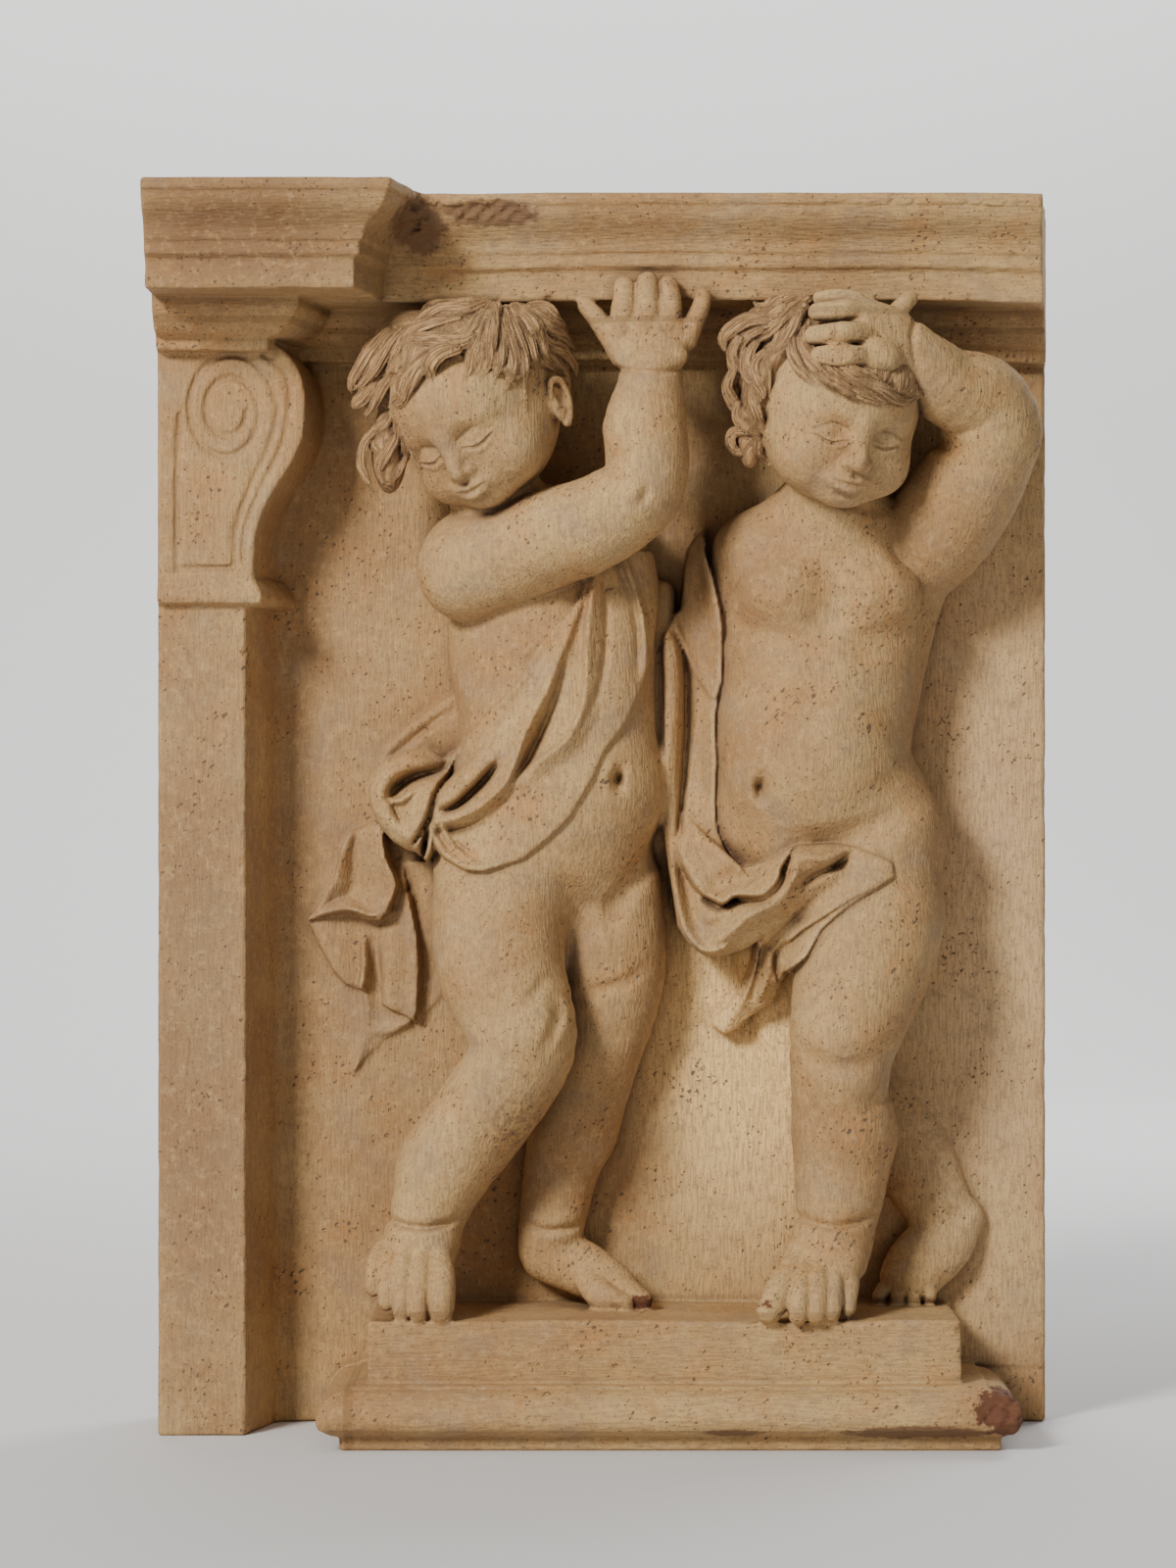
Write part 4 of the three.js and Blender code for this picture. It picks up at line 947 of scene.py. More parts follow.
def fold_window(field, folds, extra=()):
    points = [[PLINTH_MIDDLE + q[0], PLINTH_HEIGHT + q[1]] for fold in folds for q in fold[3]]
    points += [[PLINTH_MIDDLE + a, PLINTH_HEIGHT + b] for a, b in extra]
    reach = max(max(fold[1], fold[2]) for fold in folds)
    low = np.min(points, axis=0) - reach
    high = np.max(points, axis=0) + reach
    return field.window((low[0], -FAR, low[1]), (high[0], FAR, high[1]))


def crease(field, folds):
    """Folds pressed into, or raised from, what the field holds already."""
    spans, x, f, u = fold_window(field, folds)
    rise = folds_height(x[:, :, 0], u[0, :, :], folds)[:, None, :]
    field.values[spans] -= rise.astype(np.float32)


def drape(field, outline, folds, thickness, pads=(), blanket=0.0, soft=1.2, edge=2.5):
    """Cloth over what the field holds and over soft pads, inside an outline, with folds on it."""
    spans, x, f, u = fold_window(field, folds, outline)
    cloth = field.part([float(axis.flat[0]) for axis in (x, f, u)],
                       [float(axis.flat[-1]) for axis in (x, f, u)])
    under = field.values[field.spans_of(cloth)]
    cloth.values = under.copy()
    for stations, blend in pads:
        lay(cloth, stations, blend)
    spans, x, f, u = cloth.window(cloth.low, cloth.low + cloth.step * cloth.counts)
    base = cloth.values
    if blanket:
        base = smooth_min(base, np.broadcast_to(f, base.shape), blanket)
    base = base - thickness - folds_height(x[:, :, 0], u[0, :, :], folds)[:, None, :]
    corners = [[PLINTH_MIDDLE + a, PLINTH_HEIGHT + b] for a, b in outline]
    plan = polygon(x[:, :, 0], u[0, :, :], corners)[:, None, :]
    joined = smooth_min(under, smooth_max(base, plan, edge), soft)
    # well inside the outline the cloth alone counts, so its hollows reach below what it covers
    share = np.clip(-plan / edge - 0.6, 0, 1)
    field.values[field.spans_of(cloth)] = (joined + share * (base - joined)).astype(np.float32)


LEFT_SASH = (
    (-2, 508), (-3, 470), (-6, 445), (-13, 418), (-24, 392), (-39, 373), (-48, 352), (-62, 329), (-76, 315),
    (-93, 301), (-106, 297), (-118, 293), (-132, 294), (-146, 302), (-152, 308), (-156, 300), (-161, 300),
    (-165, 306), (-171, 307), (-181, 313), (-190, 323), (-196, 335), (-198, 348), (-194, 359), (-187, 368),
    (-174, 374), (-158, 376), (-147, 369), (-139, 374), (-118, 397), (-97, 418), (-86, 437), (-71, 456),
    (-55, 474), (-50, 508),
)
LEFT_PADS = (
    ([[-164, 342, 18, 28, 30], [-158, 336, 20, 26, 28]], 8),
    ([[-150, 330, 34, 20, 22], [-120, 322, 46, 18, 18]], 12),
)
LEFT_FOLDS = (
    ("crest", 12, 10, ((-52, 480, 1), (-71, 453, 2.5), (-86, 434, 3), (-98, 415, 3), (-118, 393, 3),
                       (-138, 371, 2))),
    ("crest", 5, 8, ((-29, 506, 4), (-22, 488, 6), (-14, 460, 6), (-12, 430, 4), (-16, 414, 0))),
    ("cut", 4, 4, ((-34, 506, 1), (-29, 496, 3.5), (-20, 474, 4), (-16, 445, 3), (-18, 422, 0.5))),
    ("crest", 14, 4, ((-44, 508, 6), (-46, 488, 8), (-50, 453, 9), (-52, 411, 10), (-58, 391, 10),
                      (-66, 378, 10),
                      (-84, 365, 8), (-96, 355, 6))),
    ("cut", 3, 3, ((-42, 500, 2), (-38, 470, 2.5), (-38, 440, 2.5), (-44, 410, 2), (-56, 385, 0.5))),
    ("crest", 5, 15, ((-54, 474, 4), (-68, 436, 7), (-76, 414, 9), (-84, 399, 10), (-92, 382, 11),
                      (-99, 362, 11),
                      (-106, 349, 11), (-120, 337, 10), (-136, 329, 9), (-151, 326, 7))),
    ("cut", 6.5, 5.5, ((-66, 440, 0.5), (-67, 424, 3), (-73, 404, 6), (-80, 387, 9), (-87, 372, 9),
                       (-92, 361, 6),
                       (-97, 352, 1))),
    ("roll", 7, 7, ((-153, 336, 9), (-142, 345, 12), (-128, 358, 12), (-120, 366, 10), (-112, 374, 5),
                    (-104, 384, 2))),
    ("cut", 3.6, 3.6, ((-153, 333, 3), (-138, 336, 6), (-126, 346, 7), (-117, 356, 9), (-112, 362, 4))),
    ("crest", 5, 5, ((-156, 325, 7), (-150, 312, 7), (-142, 303, 7), (-130, 297, 6), (-118, 295.5, 4),
                     (-106, 299, 2))),
    ("crest", 3, 4, ((-147, 323, 6), (-142, 315, 6), (-136, 308, 5), (-124, 300, 3))),
    ("cut", 2, 2, ((-144, 318, 1), (-137, 311, 4), (-126, 303, 3), (-116, 300, 0.5))),
    ("cut", 3.2, 3.2, ((-148, 320, 3), (-138, 320, 6), (-127, 323, 5), (-114, 331, 3), (-103, 342, 1))),
    ("roll", 8, 7, ((-143, 363, 3), (-149, 366, 7), (-157, 369, 10), (-170, 368, 12), (-183, 362, 12),
                    (-190, 353, 12), (-191, 343, 12), (-188, 331, 11), (-182, 321, 10), (-174, 314, 9),
                    (-167, 309, 6))),
    ("cut", 1.2, 1.2, ((-149, 367.5, 0.5), (-160, 371, 1.6), (-172, 369, 1.2))),
    ("cut", 7, 4.5, ((-143, 362.5, 2), (-156, 359, 7), (-168, 355.5, 11), (-176, 350.5, 12),
                     (-183, 344, 4))),
    ("crest", 3, 3, ((-183, 341, 7), (-175, 340, 8), (-167, 345, 7), (-160, 351, 4))),
    ("crest", 2.5, 22, ((-143, 361, 7), (-150, 349, 10), (-154, 341, 12), (-158, 330, 12), (-163, 321, 11),
                        (-168, 312, 8))),
    ("cut", 3.4, 3.2, ((-142, 360, 3), (-148.5, 350, 7), (-152, 342, 9), (-155, 331, 9), (-160, 320, 8),
                       (-165, 314, 4))),
    ("crest", 3, 3, ((-160, 320, 8), (-163, 313, 9), (-166, 308, 6))),
    ("crest", 3, 3, ((-154, 319, 8), (-155, 309, 9), (-158, 302, 7))),
    ("cut", 2, 2, ((-157, 320, 7), (-159, 312, 8), (-160, 305, 4))),
)
LEFT_FLAP = (
    (-132, 414), (-143, 412), (-151, 407), (-167, 395), (-187, 377), (-190, 366), (-172, 352), (-130, 350),
)
LEFT_FLAP_FOLDS = (
    ("swell", 60, 60, ((-134, 392, 30), (-160, 380, 26), (-192, 366, 20))),
    ("crest", 2.5, 14, ((-140, 412, 4), (-152, 406, 7), (-168, 394, 7), (-186, 378, 5))),
    ("cut", 4, 4, ((-136, 404, 2), (-150, 396, 4), (-166, 384, 4), (-182, 371, 2))),
)
LEFT_TAILS = (
    (
        ((-240, 257), (-223, 225), (-215, 216), (-205, 213), (-196, 208), (-187, 200), (-168, 191),
         (-164, 194),
         (-144, 216), (-144, 250), (-148, 300), (-182, 300), (-204, 290)),
        (("crest", 40, 40, ((-232, 254, 7), (-216, 222, 7))),
         ("crest", 7, 4, ((-203, 246, 7), (-202, 228, 13), (-204, 214, 14))),
         ("crest", 4, 34, ((-172, 276, 18), (-166, 240, 17), (-167, 198, 13))),
         ("roll", 12, 12, ((-178, 262, 12), (-180, 232, 13), (-180, 204, 10))),
         ("swell", 26, 26, ((-154, 300, 16), (-153, 262, 11), (-151, 236, 5), (-150, 218, 0.5))),
         ("cut", 3, 6, ((-194, 244, 1), (-192, 226, 7), (-192, 206, 8)))),
    ),
    (
        ((-203, 212), (-201, 190), (-205, 176), (-209, 157), (-199, 170), (-192, 178), (-170, 188),
         (-172, 202),
         (-190, 208)),
        (("crest", 12, 12, ((-202, 208, 6), (-203, 190, 6), (-208, 160, 5))),
         ("crest", 10, 6, ((-200, 184, 5), (-186, 184, 5), (-170, 192, 7)))),
    ),
    (
        ((-211, 320), (-194, 327), (-186, 319), (-183, 297), (-176, 284), (-183, 265), (-191, 259),
         (-201, 260),
         (-212, 264), (-228, 262), (-241, 259), (-233, 270), (-222, 289), (-218, 307)),
        (("crest", 4, 40, ((-190, 324, 22), (-187, 302, 27), (-180, 284, 29), (-187, 265, 25))),
         ("crest", 22, 22, ((-214, 316, 14), (-221, 290, 13), (-237, 261, 10))),
         ("crest", 14, 3, ((-240, 260, 10), (-226, 265, 15), (-212, 267, 18), (-197, 263, 22),
                           (-186, 265, 24))),
         ("cut", 9, 9, ((-203, 320, 2), (-205, 296, 4), (-209, 276, 3))),
         ("cut", 1.5, 1.5, ((-207, 321, 3), (-200, 323, 4), (-194, 325, 3)))),
    ),
)
RIGHT_DRAPE = (
    (30, 526), (22, 519), (17, 511), (15, 496), (14, 481), (12, 469), (8, 466), (4, 457), (0, 449),
    (0, 430),
    (1, 400), (0, 370), (-1, 340), (0, 318), (3, 300), (7, 276), (10, 256), (17, 245), (28, 236), (39, 236),
    (52, 241), (63, 248), (57, 226), (50, 210), (43, 200), (36, 194), (33, 188), (42, 182), (51, 187),
    (59, 195), (67, 201), (76, 207), (81, 219), (88, 231), (95, 239), (104, 256), (118, 268),
    (135, 279), (152, 290), (150, 300), (128, 309), (112, 312), (98, 311), (89, 311), (82, 308), (73, 303),
    (60, 297), (52, 296), (43, 305), (37, 320), (35, 336), (36, 364), (36, 395), (37, 409), (40, 420),
    (40, 443), (40, 458), (38, 469), (34, 487), (29, 506),
)
RIGHT_PADS = (
    ([[28, 514, 6, 10, 12], [24, 484, 10, 13, 14], [26, 450, 10, 17, 14], [22, 400, 10, 18, 14],
      [20, 350, 14, 18, 16], [22, 312, 26, 18, 18]], 8),
    ([[4, 446, 4, 7, 16], [7, 400, 10, 8, 16], [6, 350, 14, 8, 16], [8, 312, 16, 9, 16]], 6),
    ([[28, 304, 34, 12, 14], [38, 291, 46, 12, 13], [54, 290, 56, 11, 12], [70, 298, 62, 9, 10]], 8),
    ([[10, 300, 16, 12, 16], [18, 270, 24, 15, 17], [34, 256, 44, 16, 17], [56, 262, 64, 16, 15],
      [78, 280, 76, 14, 12], [104, 296, 80, 12, 10]], 8),
    ([[74, 262, 50, 12, 12], [68, 232, 28, 14, 11], [60, 212, 16, 14, 10], [46, 192, 6, 11, 9]], 6),
    ([[88, 256, 58, 10, 12], [76, 230, 38, 9, 12], [66, 212, 22, 10, 10]], 5),
)
RIGHT_FOLDS = (
    ("crest", 1.6, 12, ((28, 516, 4), (28, 505, 5), (33, 487, 5), (37, 468, 5), (39, 455, 4))),
    ("roll", 5, 9, ((2, 449, 4), (8, 437, 7), (9, 414, 8), (8, 384, 8), (6, 354, 8), (5, 330, 7),
                    (6, 314, 4))),
    ("cut", 4, 3, ((10, 448, 0.5), (15, 429, 2.5), (15.5, 413, 3), (15, 378, 2.5), (13.5, 349, 3),
                   (11, 324, 4), (9.5, 314, 2))),
    ("crest", 8, 2, ((9, 458, 3), (14, 444.5, 4), (22, 427.5, 4), (33, 410, 3))),
    ("crest", 2, 18, ((13, 332, 3), (27, 317, 5), (42, 304, 6), (51, 295, 6))),
    ("crest", 18, 1.8, ((10, 309, 6), (15, 296, 9), (24, 281, 11), (34, 275, 11), (40, 273, 10),
                        (47, 278.5, 10),
                        (60, 278, 11), (67, 280.5, 11), (74, 289, 11), (76, 296, 10), (83, 306, 7))),
    ("cut", 3, 6, ((26, 277, 1), (37, 269, 5), (47, 273.5, 7), (59, 273.5, 7), (69, 275.5, 6.5),
                   (77, 285, 6),
                   (79, 295, 4.5), (84, 304, 2))),
    ("dip", 9, 9, ((51, 294, 1), (45, 288, 4), (36, 284, 3))),
    ("crest", 10, 13, ((30, 243, 5), (42, 252, 9), (52, 262, 11), (66, 271, 13), (76, 279, 13),
                       (84, 288, 12),
                       (87, 301, 9))),
    ("crest", 7, 4, ((4, 312, 5), (7, 290, 6), (10, 270, 8), (13.5, 256, 9), (20, 246, 10), (29, 240, 10),
                     (40, 243, 8))),
    ("cut", 7, 7, ((14, 292, 2), (19, 271, 5), (25, 258, 6), (34, 257, 5), (46, 266, 3))),
    ("crest", 6, 8, ((86, 304, 8), (95, 303, 9), (106, 302, 9), (116, 304.5, 6), (126, 310, 2))),
    ("cut", 4.5, 4.5, ((83, 283, 2), (90, 286, 5), (100, 291, 8), (110, 296, 8), (118, 301, 6),
                       (126, 307.5, 1))),
    ("crest", 1.2, 18, ((152, 291, 0.5), (132, 281.5, 3), (114, 271, 4.5), (103, 263.5, 5), (92, 256, 5),
                        (81, 246, 4))),
    ("crest", 1.2, 10, ((96, 240, 1), (88, 233.5, 3.5), (81, 228, 4), (77, 221, 3))),
    ("crest", 10, 1.5, ((65, 246, 4), (61, 228, 6), (56, 212, 6), (51, 202, 5), (45, 192, 4))),
    ("crest", 4, 5, ((70, 240, 4), (70, 225, 4), (66, 210, 4))),
    ("cut", 2.5, 2.5, ((66, 250, 2), (65, 236, 4), (62, 220, 3), (59, 208, 2))),
    ("cut", 1.6, 1.6, ((81, 246, 2), (76, 240, 4), (75, 231, 4), (77, 222, 4))),
)

def panel_cloth(field, outline, folds, soft=1.0):
    """A flat end of cloth that lies on the panel, with its folds' heights taken from the panel's face."""
    spans, x, f, u = fold_window(field, folds, outline)
    rise = folds_height(x[:, :, 0], u[0, :, :], folds)[:, None, :]
    corners = [[PLINTH_MIDDLE + a, PLINTH_HEIGHT + b] for a, b in outline]
    plan = polygon(x[:, :, 0], u[0, :, :], corners)[:, None, :]
    cloth = smooth_max((f - rise) * 0.8, plan, 2.0)
    field.add(spans, cloth.astype(np.float32), soft)


# Building the clay

LEFT_CREASES = (
    ("cut", 5, 6, ((-28, 361, 3), (-30, 355, 12), (-29, 349, 6))),
    ("dip", 10, 11, ((-72, 296, 0.5), (-62, 283, 3), (-52, 270, 4), (-45, 258, 3))),
    ("dip", 11, 10, ((2, 322, 0.5), (-8, 304, 3), (-20, 288, 4), (-31, 272, 4), (-37, 260, 3))),
    ("cut", 5, 3, ((-186, 64, 1), (-174, 60, 4), (-160, 58, 4.5), (-146, 60, 4), (-136, 64, 1.5))),
    ("dip", 5, 5, ((-74, 214, 0.5), (-70, 200, 3), (-74, 186, 2.5), (-80, 176, 0.5))),
    ("dip", 5, 5, ((-76, 224, 0.5), (-84, 214, 2), (-92, 208, 0.5))),
    ("dip", 5, 6, ((-60, 208, 0.5), (-42, 214, 2.2), (-24, 220, 2), (-10, 232, 0.5))),
    ("cut", 4, 3, ((-94, 58, 1), (-80, 52, 4), (-64, 53, 3.5), (-54, 56, 1))),
    ("dip", 6, 6, ((-96, 428, 0.5), (-82, 436, 1.8), (-66, 452, 0.5))),
)
LEFT_ARM_CREASES = (
    ("cut", 2.2, 2.2, ((-30, 624, 1), (-20, 621, 2.4), (-8, 620, 2.8), (4, 621, 2.4), (14, 625, 1))),
    ("cut", 5, 5, ((-12, 544, 1), (-14, 537, 4), (-18, 531, 1))),
    ("roll", 7, 7, ((-22, 532, 1), (-20, 538, 3), (-20, 545, 1))),
    ("dip", 7, 7, ((-40, 552, 0.5), (-31, 560, 3), (-26, 570, 3), (-24, 580, 0.5))),
    ("cut", 1.5, 1.5, ((-29, 643, 0.5), (-25, 646, 1.6), (-20, 643, 0.5))),
    ("cut", 1.5, 1.5, ((-14, 645, 0.5), (-10, 648, 1.6), (-5, 645, 0.5))),
    ("cut", 1.5, 1.5, ((2, 645, 0.5), (6, 648, 1.4), (10, 644, 0.5))),
    ("cut", 3, 3, ((-24, 628, 0.5), (-16, 634, 1.8), (-6, 636, 2), (6, 634, 1.2))),
)
RIGHT_CREASES = (
    ("cut", 6, 6, ((65, 356, 3), (64, 350, 10), (65, 343, 6))),
    ("roll", 6, 6, ((133, 474, 1), (136, 474, 2.4), (139, 474, 1))),
    ("roll", 6, 6, ((77, 476, 1), (80, 476, 2.4), (83, 476, 1))),
    ("dip", 20, 20, ((108, 506, 1), (108, 470, 3), (103, 430, 2.5), (94, 396, 2), (84, 370, 1))),
    ("dip", 15, 15, ((64, 452, 1), (88, 441, 3), (110, 442, 1.5), (132, 440, 3), (156, 452, 1))),
    ("dip", 12, 13, ((80, 312, 1), (104, 313, 5), (122, 316, 5), (146, 325, 3.5), (166, 338, 1))),
    ("cut", 5, 3, ((84, 66, 1), (98, 61, 4), (112, 59, 4.5), (126, 61, 4), (138, 66, 1.5))),
    ("dip", 8, 8, ((90, 176, 0.5), (104, 168, 3), (122, 165, 3.5), (140, 172, 0.5))),
    ("dip", 7, 7, ((150, 148, 0.5), (138, 142, 2.5), (126, 144, 0.5))),
    ("cut", 2, 2, ((43, 494, 0.5), (44.5, 480, 2.5), (43, 466, 0.5))),
    ("cut", 2, 2, ((54, 492, 0.5), (48, 478, 2), (42, 464, 0.5))),
    ("dip", 10, 10, ((104, 552, 0.5), (120, 540, 4), (140, 536, 4), (156, 542, 1))),
    ("dip", 13, 13, ((150, 520, 0.5), (158, 506, 4), (166, 492, 3), (172, 476, 1))),
)
RIGHT_ARM_CREASES = (
    ("cut", 2.5, 2.5, ((166, 616, 1), (162, 626, 3), (160, 640, 3.2), (164, 654, 1))),
    ("dip", 7, 7, ((168, 588, 0.5), (180, 580, 4), (192, 572, 4), (200, 562, 1))),
    ("cut", 1.4, 1.4, ((128, 650, 0.5), (124, 650, 2), (116, 649, 0.5))),
    ("cut", 1.4, 1.4, ((128, 635, 0.5), (124, 634, 2), (116, 634, 0.5))),
    ("cut", 1.2, 1.2, ((112, 652, 0.5), (112, 656, 1.4), (112, 660, 0.5))),
    ("cut", 1.2, 1.2, ((110, 636, 0.5), (110, 641, 1.4), (110, 646, 0.5))),
)


def left_putto(clay):
    putto = clay.part((60, -8, 70), (400, 150, 800))
    build_parts(putto, LEFT_BODY)
    crease(putto, LEFT_CREASES)
    panel_cloth(putto, LEFT_FLAP, LEFT_FLAP_FOLDS, 2.0)
    drape(putto, LEFT_SASH, LEFT_FOLDS, 3.0, LEFT_PADS)
    for outline, folds in LEFT_TAILS:
        panel_cloth(putto, outline, folds)
    arm = clay.part((170, 20, 520), (400, 140, 790))
    build_parts(arm, LEFT_ARM)
    crease(arm, LEFT_ARM_CREASES)
    putto.merge(arm, 2.5)
    return putto


def right_putto(clay):
    putto = clay.part((300, -8, 70), (WIDTH + 4, 150, 800))
    build_parts(putto, RIGHT_BODY)
    crease(putto, RIGHT_CREASES)
    drape(putto, RIGHT_DRAPE, RIGHT_FOLDS, 2.5, RIGHT_PADS)
    arm = clay.part((400, 0, 540), (WIDTH + 4, 150, 800))
    build_parts(arm, RIGHT_ARM)
    crease(arm, RIGHT_ARM_CREASES)
    putto.merge(arm, 3.0)
    return putto


def waves(x, f, u, length, seed, count=5):
    """A gentle unevenness from -1 to 1, from waves of about one length in seeded directions."""
    rng = np.random.default_rng(seed)
    total = np.float32(0)
    for _ in range(count):
        way = rng.normal(size=3)
        way *= 2 * math.pi / (length * rng.uniform(0.7, 1.4) * np.linalg.norm(way))
        total = total + np.sin(np.float32(way[0]) * x + np.float32(way[1]) * f + np.float32(way[2]) * u
                               + np.float32(rng.uniform(0, 6)))
    return total / count


def chips(field, start, stop, count, size, seed):
    """Small breaks along an edge between two points."""
    rng = np.random.default_rng(seed)
    start, stop = np.array(start, float), np.array(stop, float)
    for share in rng.uniform(0, 1, count):
        radius = size * rng.uniform(0.5, 1.2)
        centre = start + share * (stop - start) + rng.normal(size=3) * 0.5 + np.array([0, 0.5,
                                                                                       0.5]) * radius
        radii = radius * rng.uniform(0.7, 1.6, 3)
        ball(field, list(centre), list(radii), 0.8, True, on_panel)


def broken(field, centre, radii, depth, seed):
    """A patch where the surface has broken off and left the rough body of the clay."""
    low, high = (np.array(centre) + sign * np.array(radii) for sign in (-1, 1))
    view = field.window(low, high)
    if view is None:
        return
    spans, x, f, u = view
    gap = [(a - c) / r for a, c, r in zip((x, f, u), centre, radii)]
    zone = np.clip(1.3 * (1 - np.sqrt(gap[0] ** 2 + gap[1] ** 2 + gap[2] ** 2)), 0, 1)
    rough = 0.5 + 0.9 * waves(x, f, u, 11.0, seed) + 0.5 * waves(x, f, u, 5.0, seed + 1)
    field.values[spans] += (depth * zone * np.clip(rough, -0.2, 1.2)).astype(np.float32)


def wear(clay):
    """Chipped edges, and the breaks at the block's return and the plinth's right end."""
    face = PLINTH_PROJECTION
    left, right = PLINTH_LEFT, PLINTH_LEFT + PLINTH_WIDTH
    chips(clay, (left, face, PLINTH_HEIGHT), (right, face, PLINTH_HEIGHT), 22, 1.8, 11)
    chips(clay, (right, face, PLINTH_HEIGHT), (right, face, BASE_MOULD_HEIGHT), 7, 2.4, 12)
    chips(clay, (left, face + BASE_MOULD_REACH, 22), (right + 20, face + BASE_MOULD_REACH, 22), 16, 2.0, 13)
    chips(clay, (120, CORONA_PROJECTION, SOFFIT), (WIDTH - 8, CORONA_PROJECTION, SOFFIT), 26, 1.6, 14)
    chips(clay, (120, CORNICE_PROJECTION, CYMA_TOP), (WIDTH - 12, CORNICE_PROJECTION, CYMA_TOP), 24, 1.8,
          15)
    chips(clay, (PILASTER_WIDTH, PILASTER_PROJECTION, 20), (PILASTER_WIDTH, PILASTER_PROJECTION, 540), 30,
          1.5, 16)
    chips(clay, (WIDTH, 0, 10), (WIDTH, 0, 540), 26, 1.6, 17)
    groove(clay, [[540, 0, 37, 1.3], [600, 0, 36, 1.3]], 0.8, place=on_panel)
    broken(clay, (176, 104, 796), (24, 46, 26), 6.0, 21)
    broken(clay, (222, 98, 806), (40, 16, 10), 3.5, 22)
    broken(clay, (566, 118, 26), (44, 34, 22), 5.0, 23)


def build_body():
    low = (-4.5, -PANEL_THICKNESS - 4.5, -4.5)
    high = (WIDTH + 4.5, PILASTER_PROJECTION + CORNICE_PROJECTION + 4.5, HEIGHT + 4.5)
    clay = Field(low, high, BODY_STEP)
    architecture(clay)
    wear(clay)
    putti = [left_putto(clay), right_putto(clay)]
    for putto in putti:
        clay.merge(putto, 5.0)
    spans, x, f, u = clay.window(clay.low, clay.low + clay.step * clay.counts)
    clay.values += 0.45 * waves(x, f, u, 42.0, 5, 4) + 0.22 * waves(x, f, u, 13.0, 6, 4)
    # nothing reaches outside the flanks, the back, the foot or the top
    clay.values = np.maximum(clay.values, smooth_max(box(x, 0, WIDTH), box(u, 0, HEIGHT), 2.0))
    clay.values = np.maximum(clay.values, -PANEL_THICKNESS - f).astype(np.float32)
    return clay, putti


# Turning the grid into a mesh

EDGES = [
    (axis, (a, b)) for axis in range(3) for a in (0, 1) for b in (0, 1)
]


def surface(field):
    """Surface nets: one vertex in each cell that the surface crosses, one quad for each edge."""
    values = field.values
    inside = values < 0
    total = np.zeros(np.array(values.shape) - 1, np.uint8)
    for i in (0, 1):
        for j in (0, 1):
            for k in (0, 1):
                total += inside[i:i + total.shape[0], j:j + total.shape[1], k:k + total.shape[2]]
    cells = np.argwhere((total > 0) & (total < 8)).astype(np.int32)
    index = np.full(total.shape, -1, np.int32)
    index[cells[:, 0], cells[:, 1], cells[:, 2]] = np.arange(len(cells))
    sums = np.zeros((len(cells), 3))
    counts = np.zeros(len(cells))
    for axis, (a, b) in EDGES:
        others = [n for n in range(3) if n != axis]
        start = cells.copy()
        start[:, others[0]] += a
        start[:, others[1]] += b
        stop = start.copy()
        stop[:, axis] += 1
        first = values[start[:, 0], start[:, 1], start[:, 2]]
        last = values[stop[:, 0], stop[:, 1], stop[:, 2]]
        hit = (first < 0) != (last < 0)
        share = np.where(hit, first / np.where(hit, first - last, 1), 0)
        spot = start.astype(float)
        spot[:, axis] += share
        sums += spot * hit[:, None]
        counts += hit
    vertices = field.low + field.step * sums / counts[:, None]
    quads = []
    for axis in range(3):
        before = np.take(inside, range(values.shape[axis] - 1), axis)
        after = np.take(inside, range(1, values.shape[axis]), axis)
        changed = np.argwhere(before != after)
        others = [n for n in range(3) if n != axis]
        keep = (changed[:, others[0]] > 0) & (changed[:, others[1]] > 0)
        for n in others:
            keep &= changed[:, n] < values.shape[n] - 1
        changed = changed[keep]
        corner = []
        for a, b in ((1, 1), (0, 1), (0, 0), (1, 0)):
            cell = changed.copy()
            cell[:, others[0]] -= a
            cell[:, others[1]] -= b
            corner.append(index[cell[:, 0], cell[:, 1], cell[:, 2]])
        quad = np.stack(corner, 1)
        flip = before[changed[:, 0], changed[:, 1], changed[:, 2]]
        if axis == 1:
            flip = ~flip
        quad[flip] = quad[flip][:, ::-1]
        quads.append(quad)
    return vertices, np.vstack(quads)


def to_frame(points):
    """Grid millimetres to frame metres."""
    return np.stack([
        node_low[0] + points[:, 0] / 1000,
        node_high[1] - (points[:, 1] + PANEL_THICKNESS) / 1000,
        node_low[2] + points[:, 2] / 1000,
    ], 1)


def to_grid(points):
    return np.stack([
        (points[:, 0] - node_low[0]) * 1000,
        (node_high[1] - points[:, 1]) * 1000 - PANEL_THICKNESS,
        (points[:, 2] - node_low[2]) * 1000,
    ], 1)


def mesh_from(name, vertices, faces):
    corners = faces.shape[1]
    mesh = bpy.data.meshes.new(name)
    mesh.vertices.add(len(vertices))
    mesh.vertices.foreach_set("co", np.ascontiguousarray(vertices, np.float32).ravel())
    mesh.loops.add(corners * len(faces))
    mesh.loops.foreach_set("vertex_index", np.ascontiguousarray(faces, np.int32).ravel())
    mesh.polygons.add(len(faces))
    mesh.polygons.foreach_set("loop_start", np.arange(0, corners * len(faces), corners, dtype=np.int32))
    mesh.update(calc_edges=True)
    mesh.validate()
    piece = bpy.data.objects.new(name, mesh)
    bpy.context.scene.collection.objects.link(piece)
    return piece


